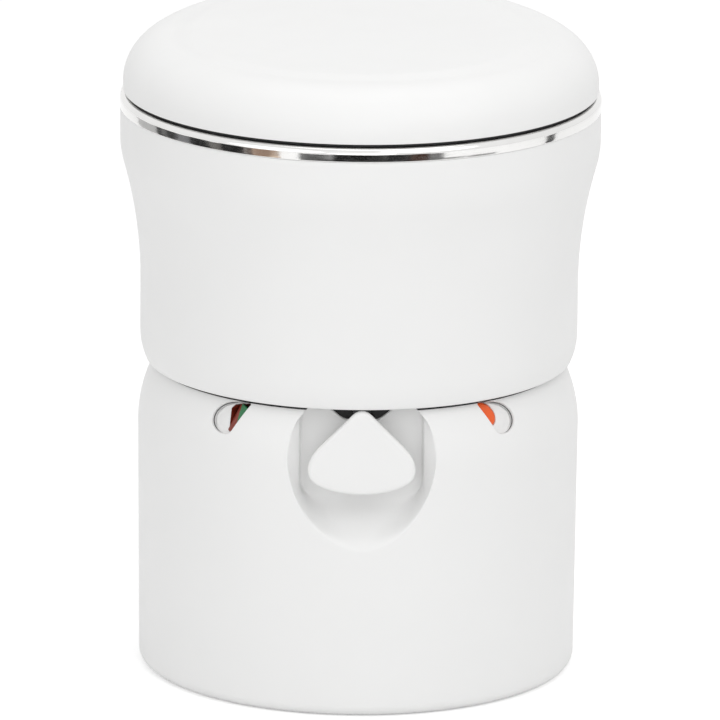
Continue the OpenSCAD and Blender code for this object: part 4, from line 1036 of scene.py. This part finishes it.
def spring_skin():
    """Coil spring behind the release tab."""
    t = np.linspace(0, 1, COILS * 24)
    a = t * COILS * 2 * math.pi
    r = SPRING_R - WIRE_R
    path = np.column_stack([SPRING_FROM + WIRE_R + t * (SPRING_L - 2 * WIRE_R), r * np.cos(a),
                            SPRING_Z + r * np.sin(a)])
    out = np.column_stack([np.zeros(len(t)), np.cos(a), np.sin(a)])
    along = np.array([1.0, 0, 0])
    return in_scoop(wire([path + out * WIRE_R * math.cos(b) + along * WIRE_R * math.sin(b)
                          for b in np.radians(np.arange(0, 360, 60))]), -1)


screws = [pan_head(at, (0, 1, 0), 9.0, 1.8) for at in BRACKET_SCREWS]
add("bracket_screws_skin", joined(*screws), "upper", BRUSHED, ["bracket_screws"], 35)
screws = [pan_head(at, (0, 0, 1), 10.0, 2.0) for at in COVER_SCREWS]
add("cover_screws_skin", joined(*screws), "tank", BRUSHED, ["cover_screws"], 35)
pads = [pad(x, y, 0.0, 2.0, 15.0, 0.7) for x in (-100, 100) for y in (-85, 115)]
add("rubber_pads_skin", joined(*pads), "tank", RUBBER, ["rubber_pads"], 50)
bumpers = [pad(x, y, DECK_TOP, SEAT_LOW, 8.0, 1.0) for x in (-118, 118) for y in (-80, 112)]
add("seat_bumpers_skin", joined(*bumpers), "seat_unit", RUBBER, ["seat_bumpers"], 50)
add("latch_spring_coil", spring_skin(), "tank", BRUSHED, ["latch_spring"], 40)

# Studio, in metres: the floor, and dark cards that only the polished rim mirrors
FLOOR_HALF, FLOOR_GLOW, FLOOR_GREY = 9, 0.34, (0.86, 0.86, 0.86)
CARD_R, CARD_LOW = 1.2, 0.02
CARDS = [  # first and last angle, upper edge, colour
    (-126, -108, 0.30, (0.60, 0.60, 0.60)), (-108, -92, 0.32, (0.06, 0.06, 0.06)),
    (-92, -84, 0.30, (0.26, 0.26, 0.27)), (-84, -72, 0.34, (0.03, 0.03, 0.03)),
    (-72, -66, 0.28, (0.20, 0.19, 0.18)), (-66, -54, 0.34, (0.02, 0.02, 0.02)),
    (-54, -50, 0.30, (0.14, 0.12, 0.11)), (-50, -37, 0.34, (0.40, 0.27, 0.20)),
    (-28, -13, 0.26, (0.11, 0.11, 0.11)), (-13, 4, 0.34, (0.012, 0.012, 0.012)),
    (4, 21, 0.32, (0.03, 0.03, 0.03)), (21, 29, 0.34, (0.08, 0.045, 0.035)),
    (29, 36, 0.28, (0.22, 0.22, 0.22)), (36, 62, 0.16, (0.42, 0.42, 0.42)),
    (92, 98, 0.30, (0.08, 0.08, 0.08))]


def floor_material(name, colour, glow):
    """Plain floor that keeps its shadow, lifted to white where the camera or a mirror sees it."""
    m, t, out = empty_material(name)
    link = t.links.new
    plain = node(t, "ShaderNodeBsdfDiffuse", Color=(*colour, 1))
    scaled = node(t, "ShaderNodeMath", operation="MULTIPLY")
    scaled.inputs[1].default_value = glow
    link(any_ray(t, "Is Camera Ray", "Is Glossy Ray"), scaled.inputs[0])
    lift = node(t, "ShaderNodeEmission")
    link(scaled.outputs[0], lift.inputs["Strength"])
    both = node(t, "ShaderNodeAddShader")
    link(plain.outputs[0], both.inputs[0])
    link(lift.outputs[0], both.inputs[1])
    link(both.outputs[0], out.inputs[0])
    return m


def card_material(name, colour):
    """Mottled grey that blends into the pale floor in soft patches."""
    m, t, out = empty_material(name)
    plain = node(t, "ShaderNodeBsdfDiffuse")
    patches = noise_at(t, node(t, "ShaderNodeTexCoord"), 9.0, 3.0, 0.6, (1, 1, 0.6))
    pale = tuple(min(1.0, c * 2.5 + 0.12) for c in colour)
    mottled = ramp(t, patches, [(0.40, colour), (0.55, colour), (0.68, pale)])
    t.links.new(mottled, plain.inputs["Color"])
    t.links.new(plain.outputs[0], out.inputs[0])
    return m


def stage_piece(name, corners, faces, material, mirrored_only=False):
    mesh = bpy.data.meshes.new(name)
    mesh.from_pydata(corners, [], faces)
    mesh.materials.append(material)
    o = linked(name, mesh)
    if mirrored_only:
        o.visible_camera = o.visible_diffuse = o.visible_shadow = False


for n, (from_a, to_a, high, colour) in enumerate(CARDS):
    steps = max(2, int((to_a - from_a) / 4))
    corners = [(CARD_R * math.sin(a), -CARD_R * math.cos(a), z)
               for a in np.radians(np.linspace(from_a, to_a, steps + 1)) for z in (CARD_LOW, high)]
    faces = [(2 * i, 2 * i + 2, 2 * i + 3, 2 * i + 1) for i in range(steps)]
    stage_piece("card_%d" % n, corners, faces, card_material("card_%d" % n, colour), True)
stage_piece("floor", [(x * FLOOR_HALF, y * FLOOR_HALF, 0) for x, y in ((-1, -1), (1, -1), (1, 1), (-1, 1))],
            [(0, 1, 2, 3)], floor_material("pale_floor", FLOOR_GREY, FLOOR_GLOW))

# World: white where it is seen, mirrored or seen through, and a soft even light otherwise
WORLD_LIGHT = 0.73
world = bpy.data.worlds.new("studio")
bpy.context.scene.world = world
world.use_nodes = True
tree = world.node_tree
tree.nodes.clear()
link = tree.links.new
seen = node(tree, "ShaderNodeBackground", Color=(1, 1, 1, 1), Strength=1.0)
light = node(tree, "ShaderNodeBackground", Color=(1, 1, 1, 1), Strength=WORLD_LIGHT)
mix = node(tree, "ShaderNodeMixShader")
link(any_ray(tree, "Is Camera Ray", "Is Glossy Ray", "Is Transmission Ray"), mix.inputs[0])
link(light.outputs[0], mix.inputs[1])
link(seen.outputs[0], mix.inputs[2])
link(mix.outputs[0], node(tree, "ShaderNodeOutputWorld").inputs[0])


# Lamps and camera
def lamp(name, at, to, size, watts):
    data = bpy.data.lights.new(name, "AREA")
    data.shape = "DISK"
    data.size = size
    data.energy = watts
    o = linked(name, data)
    o.location = at
    o.rotation_euler = (Vector(to) - Vector(at)).to_track_quat("-Z", "Y").to_euler()


lamp("key", (1.6, -2.2, 2.6), (0, 0, 0.25), 2.6, 19)
lamp("fill", (-1.8, -2.0, 1.4), (0, 0, 0.25), 2.4, 8)
lamp("front", (0.0, -3.2, 0.9), (0, 0, 0.25), 1.8, 8)
lamp("top", (0.1, 0.3, 2.6), (0, 0, 0.3), 1.8, 9)

CAMERA_AT, CAMERA_AIM, CAMERA_LENS, CAMERA_ROLL = (-0.1720, -8.7206, 2.5808), (0.0012, 0, 0.2437), 569.7, 0.53
camera = bpy.data.cameras.new("camera")
camera.sensor_width = 36
camera.lens = CAMERA_LENS
eye = linked("camera", camera)
eye.location = CAMERA_AT
eye.rotation_euler = (Vector(CAMERA_AIM) - eye.location).to_track_quat("-Z", "Y").to_euler()
eye.rotation_euler.rotate_axis("Z", math.radians(CAMERA_ROLL))
bpy.context.scene.camera = eye
bpy.context.scene.view_settings.view_transform = "Standard"
